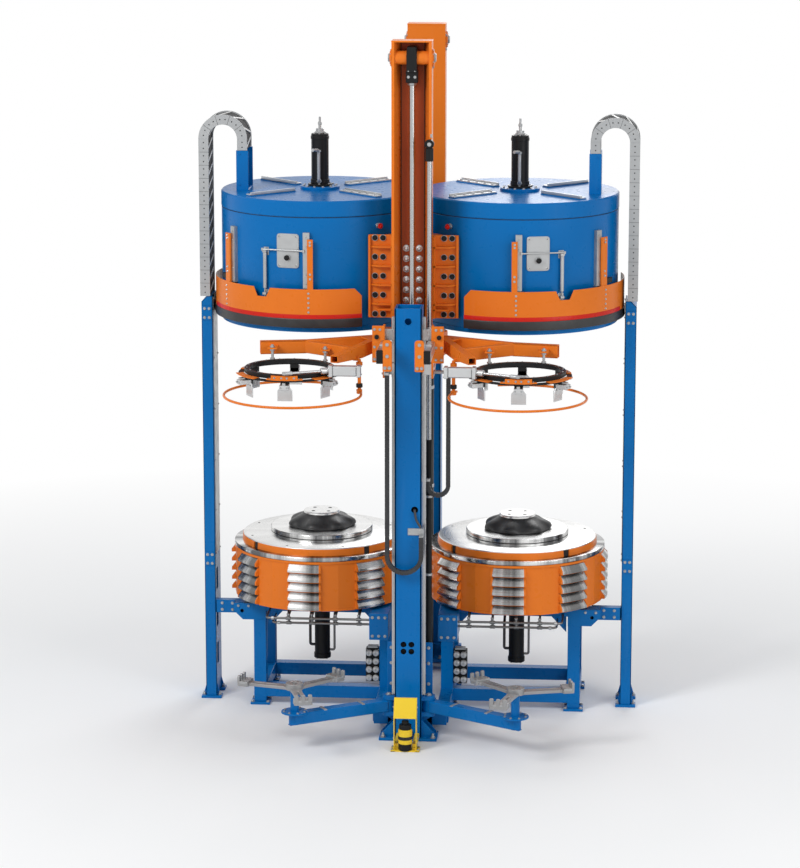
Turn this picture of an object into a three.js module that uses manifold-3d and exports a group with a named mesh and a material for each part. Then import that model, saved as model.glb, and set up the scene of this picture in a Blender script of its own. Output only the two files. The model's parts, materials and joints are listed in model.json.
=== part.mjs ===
// Dual-cavity hydraulic tire curing press, standing open.
// Millimetres, +Z up, +X to the right and +Y to the rear. The floor is z = 0 and the two cavities
// lie left and right of the middle plane x = 0. Pieces that come in pairs are modelled on the right
// and mirrored to the left.
import * as THREE from 'three';
import { mergeVertices } from 'three/addons/utils/BufferGeometryUtils.js';
import Module from 'manifold-3d';

const wasm = await Module();
wasm.setup();

// Layout
const domeMargin = 10;
const closingTravel = 2160;
const fitGap = 0.3;
const runningGap = 0.5;
const cutOverrun = 6;
const mergeTolerance = 0.05;
const weldTolerance = 0.0001;
const domeSides = 36;
const roundSides = 24;
const discSides = 20;
const smallSides = 14;
const holeSides = 8;

// Toothed lock drum
const drumBottomZ = 845;
const toothReach = 32;
const drumWall = 72;
const drumFlangeInnerRadius = 300;
const drumFlangeThickness = 40;
const toothPitch = 73.2;
const toothRows = 5;
const toothUnderside = 12;
const toothNose = 22;
const toothClearance = 8;
const toothTopInset = 4;
const toothEmbed = 12;
const toothedSegments = 8;
const drumSegmentAngle = 22.2;
const drumLeftAngle = -96.2;
const drumRightAngle = -93.2;

// Bayonet lock ring
const lockRingGap = 3.4;
const lockRingWall = 10.6;
const lockToothReach = 42.6;
const lockRingSegmentAngle = 21.5;
const lockSeatDrop = 3;
const lockToothNose = 11;
const lockToothRoot = 2;
const lockToothSlopeDrop = 48.2;
const lockRingHeadroom = 30;

// Dome and its outside fittings
const domeRadius = 750;
const domeWall = 24;
const domeSeatRise = 9;
const domeHeight = 861;
const domeLipDepth = 13;
const domeLipHeight = 13;
const railDepth = 30;
const railAngles = [-88, -38];
const railHalfAngles = [1.8, 3];
const railHeight = 420;
const guardStopAngle = -32.6;
const guardStopHalfAngle = 7.3;
const guardStopRise = 7;
const guardStopHeight = 40;
const guardCylinderAngle = -63.5;
const guardCylinderRadius = 11;
const guardCylinderOffset = 18;
const guardCylinderLength = 325;
const guardCylinderDrop = 145;
const hatchAngle = -77.1;
const hatchHalfAngle = 6.8;
const hatchRise = 478;
const hatchHeight = 261;
const hatchThickness = 6;
const hatchKnobRise = 81;
const hatchKnobRadius = 30;
const hatchKnobDepth = 26;
const ventAngle = -130;
const ventDrop = 77;
const ventRadius = 15;
const ventLength = 42;
const ventCapRadius = 21;

// Lid, its bars and the chain bracket
const lidThickness = 60;
const lidHeight = 120;
const lidSkirtDepth = 60;
const lidChamfer = 6;
const lidHubRadius = 150;
const lidHubHeight = 22;
const lidBarInner = 265;
const lidBarWidth = 56;
const lidBarHeight = 24;
const lidBarLip = 10;
const bracketHeight = 304;
const bracketWall = 8;

// Upper platen with its rod, and the cylinder that carries it
const platenInset = 62;
const upperPlatenDrop = 135;
const upperPlatenThickness = 60;
const upperMouldDepth = 30;
const platenRodRadius = 22;
const platenRodReach = 125;
const indicatorRadius = 11;
const indicatorReach = 545;
const topCylinderRadius = 66;
const topCylinderReach = 418;
const topCylinderFootRadius = 92;
const topCylinderFootHeight = 16;
const topCylinderNeckRadius = 30;
const topCylinderNeckHeight = 39;
const topPipeRadius = 9;
const topPipeReach = 92;
const topPipeRise = 65;
const topPipeHeight = 246;

// Lower platen, bladder and its post
const clampBandProud = 5;
const clampBandHeight = 54;
const lowerPlatenHeight = 55;
const platenBevel = 8;
const mouldRadius = 395;
const mouldHeight = 50;
const mouldGroove = 7;
const mouldGrooveHeight = 5;
const mouldRimWidth = 58;
const mouldRecess = 4;
const postRadius = 30;
const postBottomZ = 1000;
const postDiscRadius = 139;
const postDiscTopZ = 1488;
const postDiscThickness = 18;
const postHoleCircle = 84;
const postHoleRadius = 13;
const postHoles = 4;
const bladderRadius = 255;
const bladderFlutes = 7;
const bladderFluteDepth = 0.075;
const centreCylinderRadius = 60;
const centreCylinderBottomZ = 300;
const centreFlangeRadius = 110;
const centreFlangeThickness = 24;
const bladderStroke = 260;

// Masts on the dome carriage
const mastHalfWidth = 147.5;
const mastFrontY = -850;
const mastDepth = 150;
const mastFlange = 20;
const mastWeb = 12;
const mastWebHalfWidth = 90;
const mastReachBelow = 314;
const mastHeight = 2490;
const mastHoleX = 48;
const mastHoleRadius = 19;
const mastHoleRows = 6;
const mastHoleRise = 147;
const mastHolePitch = 77.8;
const mastHeadPlate = 12;
const crossTubeRadius = 50;
const crossTubeInset = 60;
const crossTubeDrop = 127;
const crossTubeHalfLength = 164;
const crossNutRadius = 34;
const crossNutLength = 12;
const cheekRadius = 66;
const cheekThickness = 8;

// Lift cylinders
const liftOffsetY = 10;
const liftRodRadius = 22;
const liftRodReach = 115;
const liftBarrelRadius = 60;
const liftBarrelGap = 5;
const liftFootBottomZ = 60;
const liftFootThickness = 24;
const liftFootHalfDepth = 52;
const clevisHalfWidth = 44;
const clevisWall = 17;
const clevisNeckHalfWidth = 36;
const clevisDrop = 181;
const clevisShoulderDrop = 103;
const clevisRise = 83;
const sideLiftX = 133;
const sideLiftStandoff = 30;
const sideRodRadius = 17.5;
const sidePistonLength = 25;
const sideRodEyeDrop = 748;
const sideRodEyeRadius = 34;
const sideRodEyeDepth = 48;
const sideBarrelRadius = 26;
const sideGlandLength = 15;
const sideBarrelBottomZ = 40;
const sideFootTopZ = 160;

// Saddles that tie both domes to a mast
const saddleHalfWidth = 336;
const saddleFrontY = -640;
const saddleThickness = 25;
const saddleRise = 100;
const saddleHeight = 623;
const saddleBlockHalfWidth = 140;
const saddleRibOuter = 263;
const saddleRibFrontY = -690;
const saddleRibThickness = 14;
const saddleBoltRows = 5;
const saddleBoltRise = 29;
const saddleBoltPitch = 143;
const saddleBoltX = [287];
const saddleBoltRadius = 17;
const saddleBoltHeight = 14;
const saddleBackRibs = 3;
const saddleBackDepth = 190;

// Columns with their feet and the clevises of the stand arms
const columnHalfWidth = 100;
const columnFrontY = -1170;
const columnDepth = 200;
const columnHeadHeight = 73;
const columnWall = 12;
const columnPortDrop = 96;
const columnPortRadius = 25;
const columnSidePortX = 49;
const columnSidePortZ = 1769;
const columnPairX = [-34, 25];
const columnPairZ = [684, 738];
const columnPairRadius = 22;
const footHalfWidth = 217;
const footFrontY = -1205;
const footBackY = -985;
const footThickness = 20;
const anchorRadius = 14;
const anchorHeight = 46;
const anchorInset = 30;
const backPlateHalfWidth = 170;
const backPlateTopZ = 700;
const backPlateThickness = 18;
const crossBeamHalfWidth = 275;
const crossBeamBackY = -912;
const crossBeamBottomZ = 60;
const crossBeamTopZ = 165;
const footGussetHeight = 150;
const footGussetThickness = 14;
const lugReachX = 196;
const lugHalfDepth = 46;
const lugThickness = 34;
const chainPlateThickness = 8;
const chainPlateBottomZ = 1578;
const chainPlateHeight = 53;

// Loader rails
const loaderRailBottomZ = 330;
const loaderRailRise = 192;
const loaderRailY = -1080;
const loaderRailWidth = 40;
const loaderRailDepth = 25;
const loaderRailWaist = 6;

// Loader carriage
const carriagePlateX = 171;
const carriagePlateThickness = 14;
const carriageFrontY = -1190;
const carriageBackY = -866;
const carriageDrop = 248;
const carriageRise = 140;
const carriageHubRise = 54;
const carriageStepDepth = 180;
const carriageFaceOuterX = 262;
const carriageFaceThickness = 15;
const carriageFaceRise = 115;
const shoeInnerX = 104;
const shoeHalfWidth = 45;
const shoeHeight = 84;
const shoeRise = 15;
const shoePitch = 255;
const pivotX = 222;
const pivotHubRadius = 42;
const pivotPinRadius = 18;
const pivotCapRadius = 27;
const pivotCapHeight = 10;
const pivotLugThickness = 38;
const pivotLugInnerX = 182;
const pivotLugReach = 80;
const actuatorInnerX = 140;
const actuatorOuterX = 198;
const actuatorFrontY = -1622;
const actuatorHeight = 90;
const actuatorRise = 44;
const earInnerX = 82;
const earOuterX = 149;
const earThickness = 18;
const earHeight = 229;
const earRise = 115;
const earPinRadius = 15;
const earPinHeight = 12;

// Loader arm
const chuckOffsetX = 75;
const chuckY = -1485;
const armDrop = 6;
const armHeight = 95;
const armTubeWidth = 60;
const armWall = 7;
const armEndHeight = 53;
const armMouthDepth = 90;
const armKnee = [764, -1035];
const armOuterEnd = [1095, -1100];
const armFrontEnd = [495, -1655];
const armBraceStart = [392, -1300];
const hoopBraceShare = 0.62;
const hangerRodRadius = 9;
const hangerRods = [[992, -1212], [599, -1262]];
const hangerRodDrop = 4;
const hangerPlateHalf = 34;
const hangerPlateDrop = 38;
const hangerPlateThickness = 10;
const hoopOffsetX = 19;
const hoopOffsetY = 4;
const hoopDrop = 321;
const hoopRadius = 497;
const hoopTubeRadius = 9.5;
const hoopStartAngle = 156;
const hoopEndAngle = 469.5;
const hoopPostAngle = 6;
const hoopPostRadius = 13;
const hoopClampRadius = 24;
const hoopClampHeight = 30;

// Tire chuck and its cam ring
const chuckRingRadius = 327;
const chuckRingWidth = 35;
const chuckDrop = 116;
const chuckRingThickness = 30;
const paddles = 6;
const paddleFirstAngle = 30;
const paddleHangerWidth = 64;
const paddleHangerInner = 298;
const paddleHangerOuter = 320;
const paddleSlideOuter = 404;
const paddleSlideHeight = 52;
const paddleBladeWidth = 108;
const paddleBladeThickness = 9;
const paddleReach = 192;
const camRingWidth = 36;
const camRingGap = 7;
const camRingDrop = 46;
const camRingThickness = 12;
const camPlates = 3;
const camPlateFirstAngle = 30;
const camPlateAngle = 34;
const camPlateRise = 6;
const camFaceAngle = 15;
const camFaceHeight = 34;
const camFaceThickness = 9;
const gripCylinderStart = 298;
const gripCylinderEnd = 527;
const gripCylinderY = -1724;
const gripCylinderHalf = 41;
const gripRodRadius = 9;
const gripRodDrop = 96;
const gripRodEnd = [832, -1870];
const gripNeckRadius = 24;
const gripNeckLength = 62;
const gripSeatAngle = 212;

// Guard with its bumper
const guardStandoff = 50;
const guardSheet = 4;
const guardStartAngle = -118.3;
const guardEndAngle = 15;
const guardRise = 109;
const guardHeight = 222;
const guardNotchAngle = -62.5;
const guardNotchTopWidth = 146;
const guardNotchBottomWidth = 80;
const guardNotchDepth = 69;
const bumperHeight = 68;
const bumperLap = 2;
const bumperProud = 6;
const bumperInset = 2;
const guardBarAngles = [-90.2, -34.7];
const guardBarHalfAngles = [1.55, 2.3];
const guardBarGap = 1.2;
const guardBarReach = 371;

// Energy chains over the domes and their posts
const chainArchInset = 93;
const chainArchRise = 86;
const chainRadius = 147;
const chainLinkHeight = 76;
const chainLinkPitch = 96;
const chainPlate = 12;
const chainBarWidth = 54;
const chainBarHeight = 12;
const chainFrontY = -185;
const chainWidth = 285;
const postMargin = 6;
const postWidth = 84;
const postTopZ = 3183;
const postChamfer = 42;
const postWall = 6;
const postSlotWidth = 90;
const postSlotHeight = 170;
const postSlotPitch = 300;
const postSlotBottomZ = 260;
const postSlots = 3;
const postPlateReach = 36;
const postPlateDepth = 96;
const postPlateThickness = 20;

// Base frames
const frameInnerX = 190;
const frameReachX = 502;
const frameFrontY = -320;
const frameRearY = 400;
const frameBeam = 97;
const frameWeb = 10;
const frameFlange = 12;
const frameSoleZ = 60;
const framePad = 150;
const framePadThickness = 20;
const outriggerReachX = 1415;
const outriggerBottomZ = 677;
const outriggerTopZ = 806;
const outriggerDepth = 122;
const outriggerChamfer = 70;
const linkHeight = 100;
const linkDepth = 64;
const linkWall = 8;
const shelfOuterX = 336;
const shelfFrontY = -650;
const shelfBottomZ = 625;
const shelfTopZ = 830;
const shelfRibThickness = 14;
const headerPipeRadius = 13;
const headerPipeY = -598;
const headerPipeZ = [768, 722];
const headerPipeEndX = [1130, 1086];
const manifoldOuterX = 392;
const manifoldDepth = 76;
const manifoldBottomZ = 196;
const manifoldTopZ = 461;
const manifoldPorts = 4;
const manifoldPortRadius = 25;
const manifoldPortLength = 34;

// Stand arms with their trays
const standPivotX = 150;
const standPivotY = -1080;
const standArmWidth = 88;
const standArmBottomZ = 203;
const standArmTopZ = 291;
const standFlangeRadius = 100;
const standFlangeThickness = 12;
const standPostRadius = 20;
const standPostTopZ = 500;
const standPinRadius = 15;
const standHubRadius = 44;
const trayBottomZ = 470;
const trayHubRadius = 62;
const trayHubHeight = 46;
const trayTurns = [15, 135, -105];
const trayArmWidth = 64;
const trayArmThickness = 14;
const trayReach = 430;
const trayForkDepth = 80;
const trayForkHeight = 78;

// Scanner guard on the floor
const hoodHalfWidth = 85;
const hoodBackY = -1400;
const hoodFrontY = -1480;
const hoodTopZ = 393;
const hoodLowZ = 258;
const hoodSheet = 6;
const scannerRadius = 52;
const scannerTopZ = 205;
const scannerBaseHalfWidth = 107;
const scannerBaseDepth = 110;
const scannerBaseThickness = 12;
const scannerTieWidth = 34;
const scannerTieZ = 24;
const scannerTieHeight = 30;

// Cable chains of the loaders
const cableChainThickness = 32;
const cableChainWidth = 40;
const cableChainSteps = 10;
const leftCableMovingX = -150;
const leftCableFixedX = 101;
const leftCableY = -1230;
const leftCableRise = 30;
const leftCableBottomZ = 1290;
const rightCableMovingX = 285;
const rightCableFixedX = 135;
const rightCableY = -1000;
const rightCableRise = 5;
const rightCableBottomZ = 1830;
const rightCableFixedZ = 1950;
const cableHangerThickness = 20;

// Values worked out from the sizes above
const cavityX = domeRadius + domeMargin;
const domeInnerRadius = domeRadius - domeWall;
const domeLipRadius = domeInnerRadius - domeLipDepth;
const lidSkirtInnerRadius = domeRadius - lidSkirtDepth;
const lidBarOuter = lidSkirtInnerRadius;
const guardRadius = domeRadius + guardStandoff;
const bumperRadius = guardRadius + bumperProud;
const bumperInnerRadius = guardRadius - bumperLap;
const lockRingOuterRadius = domeInnerRadius - lockRingGap;
const lockRingRootRadius = lockRingOuterRadius - lockRingWall;
const lockRingTipRadius = lockRingOuterRadius - lockToothReach;
const lockToothSlopeRadius = lockRingRootRadius + lockToothRoot;
const toothTipRadius = lockRingRootRadius - toothClearance;
const drumRadius = toothTipRadius - toothReach;
const toothTopRadius = drumRadius - toothTopInset;
const drumInnerRadius = drumRadius - drumWall;
const clampBandRadius = drumRadius + clampBandProud;
const platenRadius = drumRadius - platenInset;
const upperMouldRadius = mouldRadius;
const postInnerX = cavityX + bumperRadius + postMargin;
const postOuterX = postInnerX + postWidth;
const chainArchX = postInnerX - chainArchInset;
const frameOuterX = cavityX + frameReachX;
const chuckX = cavityX + chuckOffsetX;
const hoopX = chuckX - hoopOffsetX;
const hoopY = chuckY - hoopOffsetY;
const standEndX = hoopX;
const standEndY = hoopY;
const camRingInnerRadius = chuckRingRadius + camRingGap;
const camRingRadius = camRingInnerRadius + camRingWidth;
const chuckRingInnerRadius = chuckRingRadius - chuckRingWidth;
const mastBackY = mastFrontY + mastDepth;
const crossTubeY = mastFrontY + crossTubeInset;
const liftY = crossTubeY - liftOffsetY;
const sideLiftY = mastFrontY - sideLiftStandoff;
const carriageStepY = carriageFrontY + carriageStepDepth;
const domeBottomZ = drumBottomZ + closingTravel + domeSeatRise;
const domeSeamZ = domeBottomZ + domeHeight;
const lidTopZ = domeSeamZ + lidHeight;
const bracketTopZ = lidTopZ + bracketHeight;
const upperPlatenBottomZ = domeSeamZ - upperPlatenDrop;
const platenRodTopZ = lidTopZ + platenRodReach;
const indicatorTopZ = lidTopZ + indicatorReach;
const topCylinderTopZ = lidTopZ + topCylinderReach;
const topPipeBottomZ = lidTopZ + topPipeRise;
const topPipeTopZ = topPipeBottomZ + topPipeHeight;
const guardBottomZ = domeBottomZ + guardRise;
const guardTopZ = guardBottomZ + guardHeight;
const guardNotchZ = guardTopZ - guardNotchDepth;
const bumperBottomZ = guardBottomZ - bumperHeight;
const guardBarTopZ = guardTopZ + guardBarReach;
const railBottomZ = guardTopZ;
const railTopZ = railBottomZ + railHeight;
const guardStopBottomZ = railBottomZ + guardStopRise;
const guardCylinderTopZ = railTopZ - guardCylinderDrop;
const guardCylinderBottomZ = guardCylinderTopZ - guardCylinderLength;
const hatchBottomZ = domeBottomZ + hatchRise;
const hatchTopZ = hatchBottomZ + hatchHeight;
const hatchKnobZ = hatchBottomZ + hatchKnobRise;
const ventZ = domeSeamZ - ventDrop;
const saddleBottomZ = domeBottomZ + saddleRise;
const saddleTopZ = saddleBottomZ + saddleHeight;
const saddleBoltBottomZ = saddleBottomZ + saddleBoltRise;
const mastBottomZ = domeBottomZ - mastReachBelow;
const mastTopZ = mastBottomZ + mastHeight;
const mastHoleBottomZ = saddleBottomZ + mastHoleRise;
const crossTubeZ = mastTopZ - crossTubeDrop;
const clevisTopZ = crossTubeZ + clevisRise;
const clevisShoulderZ = crossTubeZ - clevisShoulderDrop;
const clevisBottomZ = crossTubeZ - clevisDrop;
const liftRodBottomZ = mastBottomZ - liftRodReach;
const liftBarrelTopZ = mastBottomZ - liftBarrelGap;
const sideRodEyeZ = mastTopZ - sideRodEyeDrop;
const sideRodBottomZ = sideBarrelBottomZ + closingTravel + sidePistonLength;
const sideBarrelTopZ = sideRodBottomZ + sideGlandLength;
const armTopZ = domeBottomZ - armDrop;
const loaderRailTopZ = armTopZ + loaderRailRise;
const columnTopZ = loaderRailTopZ + columnHeadHeight;
const columnPortZ = columnTopZ - columnPortDrop;
const carriageBottomZ = armTopZ - carriageDrop;
const carriageTopZ = armTopZ + carriageRise;
const carriageHubTopZ = armTopZ + carriageHubRise;
const carriageFaceBottomZ = carriageBottomZ + carriageFaceRise;
const shoeBottomZ = [carriageBottomZ + shoeRise, carriageBottomZ + shoeRise + shoePitch];
const actuatorTopZ = armTopZ + actuatorRise;
const actuatorBottomZ = actuatorTopZ - actuatorHeight;
const earTopZ = armTopZ + earRise;
const earBottomZ = earTopZ - earHeight;
const hangerRodTopZ = armTopZ - hangerRodDrop;
const hoopZ = armTopZ - hoopDrop;
const chuckRingTopZ = armTopZ - chuckDrop;
const camRingBottomZ = chuckRingTopZ - camRingDrop;
const paddleBottomZ = chuckRingTopZ - paddleReach;
const gripRodZ = armTopZ - gripRodDrop;
const gripCylinderBottomZ = gripRodZ - gripCylinderHalf;
const leftCableTopZ = carriageBottomZ + leftCableRise;
const rightCableTopZ = carriageBottomZ + rightCableRise;
const chainArchZ = bracketTopZ + chainArchRise;
const drumTopZ = drumBottomZ + toothPitch * toothRows;
const baseTopZ = drumBottomZ - fitGap;
const lockRingBottomZ = domeBottomZ + domeLipHeight + fitGap;
const platenBaseZ = drumTopZ + fitGap;
const clampBandTopZ = platenBaseZ + clampBandHeight;
const lowerPlatenTopZ = clampBandTopZ + lowerPlatenHeight;
const mouldTopZ = lowerPlatenTopZ + mouldHeight;
const lidHubTopZ = lidTopZ + lidHubHeight;
const topCylinderBottomZ = lidHubTopZ + fitGap;
const columnBackY = columnFrontY + columnDepth;
const armBottomZ = armTopZ - armHeight;
const pivotHalfGap = fitGap;
const chainBackY = chainFrontY + chainWidth;
const railOuterRadius = domeRadius + railDepth;

// The pivot of the loader arm is as far from the cavity as from the chuck, so that the swing
// brings the chuck over the mould.
const pivotY = (chuckX ** 2 + chuckY ** 2 - cavityX ** 2 - 2 * pivotX * (chuckX - cavityX)) / (2 * chuckY);

const degrees = Math.PI / 180;

// Solids: every shape starts as a three.js geometry and is joined or cut as a manifold.
function solid(geometry) {
  const bare = geometry.clone();
  bare.deleteAttribute('normal');
  bare.deleteAttribute('uv');
  const merged = mergeVertices(bare, weldTolerance);
  const mesh = new wasm.Mesh({
    numProp: 3,
    vertProperties: new Float32Array(merged.attributes.position.array),
    triVerts: new Uint32Array(merged.index.array),
  });
  return new wasm.Manifold(mesh);
}

function join(...solids) {
  return solids.flat().reduce((whole, piece) => whole.add(piece));
}

function cut(whole, ...tools) {
  return tools.flat().reduce((rest, tool) => rest.subtract(tool), whole);
}

function geometryOf(body) {
  const mesh = body.asOriginal().simplify(mergeTolerance).getMesh();
  const geometry = new THREE.BufferGeometry();
  geometry.setAttribute('position', new THREE.BufferAttribute(new Float32Array(mesh.vertProperties), 3));
  geometry.setIndex(new THREE.BufferAttribute(new Uint32Array(mesh.triVerts), 1));
  geometry.computeVertexNormals();
  return geometry;
}

function box(x0, x1, y0, y1, z0, z1) {
  const geometry = new THREE.BoxGeometry(Math.abs(x1 - x0), Math.abs(y1 - y0), Math.abs(z1 - z0));
  geometry.translate((x0 + x1) / 2, (y0 + y1) / 2, (z0 + z1) / 2);
  return solid(geometry);
}

// A round bar from one point to another.
function bar(from, to, radius, sides = smallSides) {
  const start = new THREE.Vector3(...from);
  const end = new THREE.Vector3(...to);
  const direction = end.clone().sub(start);
  const geometry = new THREE.CylinderGeometry(radius, radius, direction.length(), sides);
  const turn = new THREE.Quaternion().setFromUnitVectors(
    new THREE.Vector3(0, 1, 0),
    direction.clone().normalize(),
  );
  geometry.applyQuaternion(turn);
  geometry.translate(...start.add(end).multiplyScalar(0.5).toArray());
  return solid(geometry);
}

function rod(x, y, z0, z1, radius, sides = smallSides) {
  return bar([x, y, z0], [x, y, z1], radius, sides);
}

function shapeOf(points) {
  return new THREE.Shape(points.map(([x, y]) => new THREE.Vector2(x, y)));
}

// Prisms: a plan outline raised along Z, a front outline (x, z) along Y, a side outline (y, z) along X.
function slab(outline, z0, z1) {
  const geometry = new THREE.ExtrudeGeometry(shapeOf(outline), { depth: z1 - z0, bevelEnabled: false });
  geometry.translate(0, 0, z0);
  return solid(geometry);
}

function frontPrism(outline, y0, y1) {
  const geometry = new THREE.ExtrudeGeometry(shapeOf(outline), { depth: y1 - y0, bevelEnabled: false });
  geometry.rotateX(Math.PI / 2);
  geometry.translate(0, y1, 0);
  return solid(geometry);
}

function sidePrism(outline, x0, x1) {
  const geometry = new THREE.ExtrudeGeometry(shapeOf(outline), { depth: x1 - x0, bevelEnabled: false });
  geometry.rotateX(Math.PI / 2);
  geometry.rotateZ(Math.PI / 2);
  geometry.translate(x0, 0, 0);
  return solid(geometry);
}

// A beam along a line in plan, from a side outline (distance along the line, z).
function beamFrom(from, to, width, outline) {
  const angle = Math.atan2(to[1] - from[1], to[0] - from[0]);
  const geometry = new THREE.ExtrudeGeometry(shapeOf(outline), { depth: width, bevelEnabled: false });
  geometry.rotateX(Math.PI / 2);
  geometry.translate(0, width / 2, 0);
  geometry.rotateZ(angle);
  geometry.translate(from[0], from[1], 0);
  return solid(geometry);
}

function distance(from, to) {
  return Math.hypot(to[0] - from[0], to[1] - from[1]);
}

function beam(from, to, width, z0, z1) {
  const length = distance(from, to);
  return beamFrom(from, to, width, [[0, z0], [length, z0], [length, z1], [0, z1]]);
}

// A full turn of a closed outline (r, z) about a vertical axis.
function revolve(outline, sides = roundSides) {
  const closed = [...outline, outline[0]];
  const geometry = new THREE.LatheGeometry(closed.map(([r, z]) => new THREE.Vector2(r, z)), sides);
  geometry.rotateX(Math.PI / 2);
  return outward(geometry);
}

// A closed outline (r, z) turned through the given angles, with flat ends where it doesn't close.
function turned(outline, angles) {
  const positions = [];
  const index = [];
  const count = outline.length;
  const steps = angles.length - 1;
  const full = angles[steps] - angles[0] > 359;
  for (const angle of angles) {
    for (const [r, z] of outline) {
      positions.push(r * Math.cos(angle * degrees), r * Math.sin(angle * degrees), z);
    }
  }
  for (let step = 0; step < steps; step += 1) {
    for (let i = 0; i < count; i += 1) {
      const a = step * count + i;
      const b = step * count + ((i + 1) % count);
      index.push(a, b, a + count, b, b + count, a + count);
    }
  }
  if (full) {
    for (let i = 0; i < index.length; i += 1) {
      index[i] %= steps * count;
    }
  } else {
    const caps = THREE.ShapeUtils.triangulateShape(outline.map(([r, z]) => new THREE.Vector2(r, z)), []);
    const last = steps * count;
    for (const [a, b, c] of caps) {
      index.push(c, b, a, last + a, last + b, last + c);
    }
  }
  const geometry = new THREE.BufferGeometry();
  geometry.setAttribute('position', new THREE.Float32BufferAttribute(positions, 3));
  geometry.setIndex(index);
  return outward(geometry);
}

// The manifold of a geometry, turned inside out where its faces point inwards.
function outward(geometry) {
  const bare = geometry.clone();
  bare.deleteAttribute('normal');
  bare.deleteAttribute('uv');
  const merged = mergeVertices(bare, weldTolerance);
  const position = merged.attributes.position;
  const corner = [new THREE.Vector3(), new THREE.Vector3(), new THREE.Vector3()];
  const index = merged.index.array;
  let volume = 0;
  for (let i = 0; i < index.length; i += 3) {
    corner.forEach((point, k) => point.fromBufferAttribute(position, index[i + k]));
    volume += corner[0].dot(corner[1].clone().cross(corner[2]));
  }
  if (volume < 0) {
    for (let i = 0; i < index.length; i += 3) {
      [index[i + 1], index[i + 2]] = [index[i + 2], index[i + 1]];
    }
  }
  return solid(merged);
}

function sweep(outline, startAngle, endAngle, steps) {
  const angles = [];
  for (let step = 0; step <= steps; step += 1) {
    angles.push(startAngle + ((endAngle - startAngle) * step) / steps);
  }
  return turned(outline, angles);
}

// Facet edges of a toothed wall: two facets under each stack of teeth and two in each gap.
function facetAngles(frontAngle, segmentAngle) {
  const pitch = 360 / toothedSegments;
  const angles = [];
  for (let segment = 0; segment < toothedSegments; segment += 1) {
    const middle = frontAngle + segment * pitch;
    const edge = middle + segmentAngle / 2;
    angles.push(middle - segmentAngle / 2, middle, edge, edge + (pitch - segmentAngle) / 2);
  }
  angles.push(angles[0] + 360);
  return angles;
}

function ring(outer, inner, z0, z1, sides = roundSides) {
  return revolve([[inner, z0], [outer, z0], [outer, z1], [inner, z1]], sides);
}

function disc(radius, z0, z1, sides = roundSides) {
  return rod(0, 0, z0, z1, radius, sides);
}

// An arc of a ring between two angles.
function arcPiece(inner, outer, z0, z1, startAngle, endAngle, steps) {
  return sweep([[inner, z0], [outer, z0], [outer, z1], [inner, z1]], startAngle, endAngle, steps);
}

// A block on the outside of a round wall: so wide, from radius to radius, turned to an angle.
function wallBlock(angle, width, inner, outer, z0, z1) {
  return box(inner, outer, -width / 2, width / 2, z0, z1).rotate([0, 0, angle]);
}

function at(x, y, body) {
  return body.translate([x, y, 0]);
}

function polar(radius, angle) {
  return [radius * Math.cos(angle * degrees), radius * Math.sin(angle * degrees)];
}

// Materials
function paint(color, roughness, metalness) {
  return new THREE.MeshStandardMaterial({ color, roughness, metalness });
}

const materials = {
  blue: paint(0x0069ae, 0.35, 0),
  orange: paint(0xdf6a22, 0.4, 0),
  yellow: paint(0xecd050, 0.4, 0),
  black: paint(0x202225, 0.45, 0),
  rubber: paint(0x1c1c1e, 0.7, 0),
  steel: paint(0xc8c9ca, 0.25, 1),
  chrome: paint(0xd8dadc, 0.12, 1),
  galvanised: paint(0xb4b7ba, 0.4, 0.8),
  aluminium: paint(0xc4c6c8, 0.35, 0.9),
};

// The press stands in this group, moved along Y so that the middle of its footprint is at the origin.
const press = new THREE.Group();

function addMesh(name, body, material) {
  const mesh = new THREE.Mesh(geometryOf(body), material);
  mesh.name = name;
  press.add(mesh);
  return mesh;
}

function addPair(name, body, material) {
  addMesh(`right_${name}`, body, material);
  addMesh(`left_${name}`, body, material).scale.x = -1;
}

function addFrontAndRear(name, body, material) {
  addMesh(`front_${name}`, body, material);
  addMesh(`rear_${name}`, body, material).scale.y = -1;
}

// The lock drum has eight stacks of teeth. The gaps between them let the lock ring's teeth pass down,
// and a turn of half a pitch then brings them under the drum's flat tooth undersides.
function lockDrum(frontAngle) {
  const wall = [
    [drumFlangeInnerRadius, drumBottomZ],
    [drumRadius, drumBottomZ],
    [drumRadius, drumTopZ],
    [drumFlangeInnerRadius, drumTopZ],
  ];
  const hollow = disc(drumInnerRadius, drumBottomZ + drumFlangeThickness, drumTopZ + cutOverrun, discSides);
  const shell = cut(turned(wall, facetAngles(frontAngle, drumSegmentAngle)), hollow);
  const root = drumRadius - toothEmbed;
  const teeth = [];
  for (let segment = 0; segment < toothedSegments; segment += 1) {
    const middle = frontAngle + (segment * 360) / toothedSegments;
    for (let row = 0; row < toothRows; row += 1) {
      const z = drumBottomZ + row * toothPitch;
      const outline = [
        [root, z + toothUnderside],
        [toothTipRadius, z + toothUnderside],
        [toothTipRadius, z + toothUnderside + toothNose],
        [toothTopRadius, z + toothPitch],
        [root, z + toothPitch],
      ];
      teeth.push(sweep(outline, middle - drumSegmentAngle / 2, middle + drumSegmentAngle / 2, 2));
    }
  }
  return join(shell, teeth);
}

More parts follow.
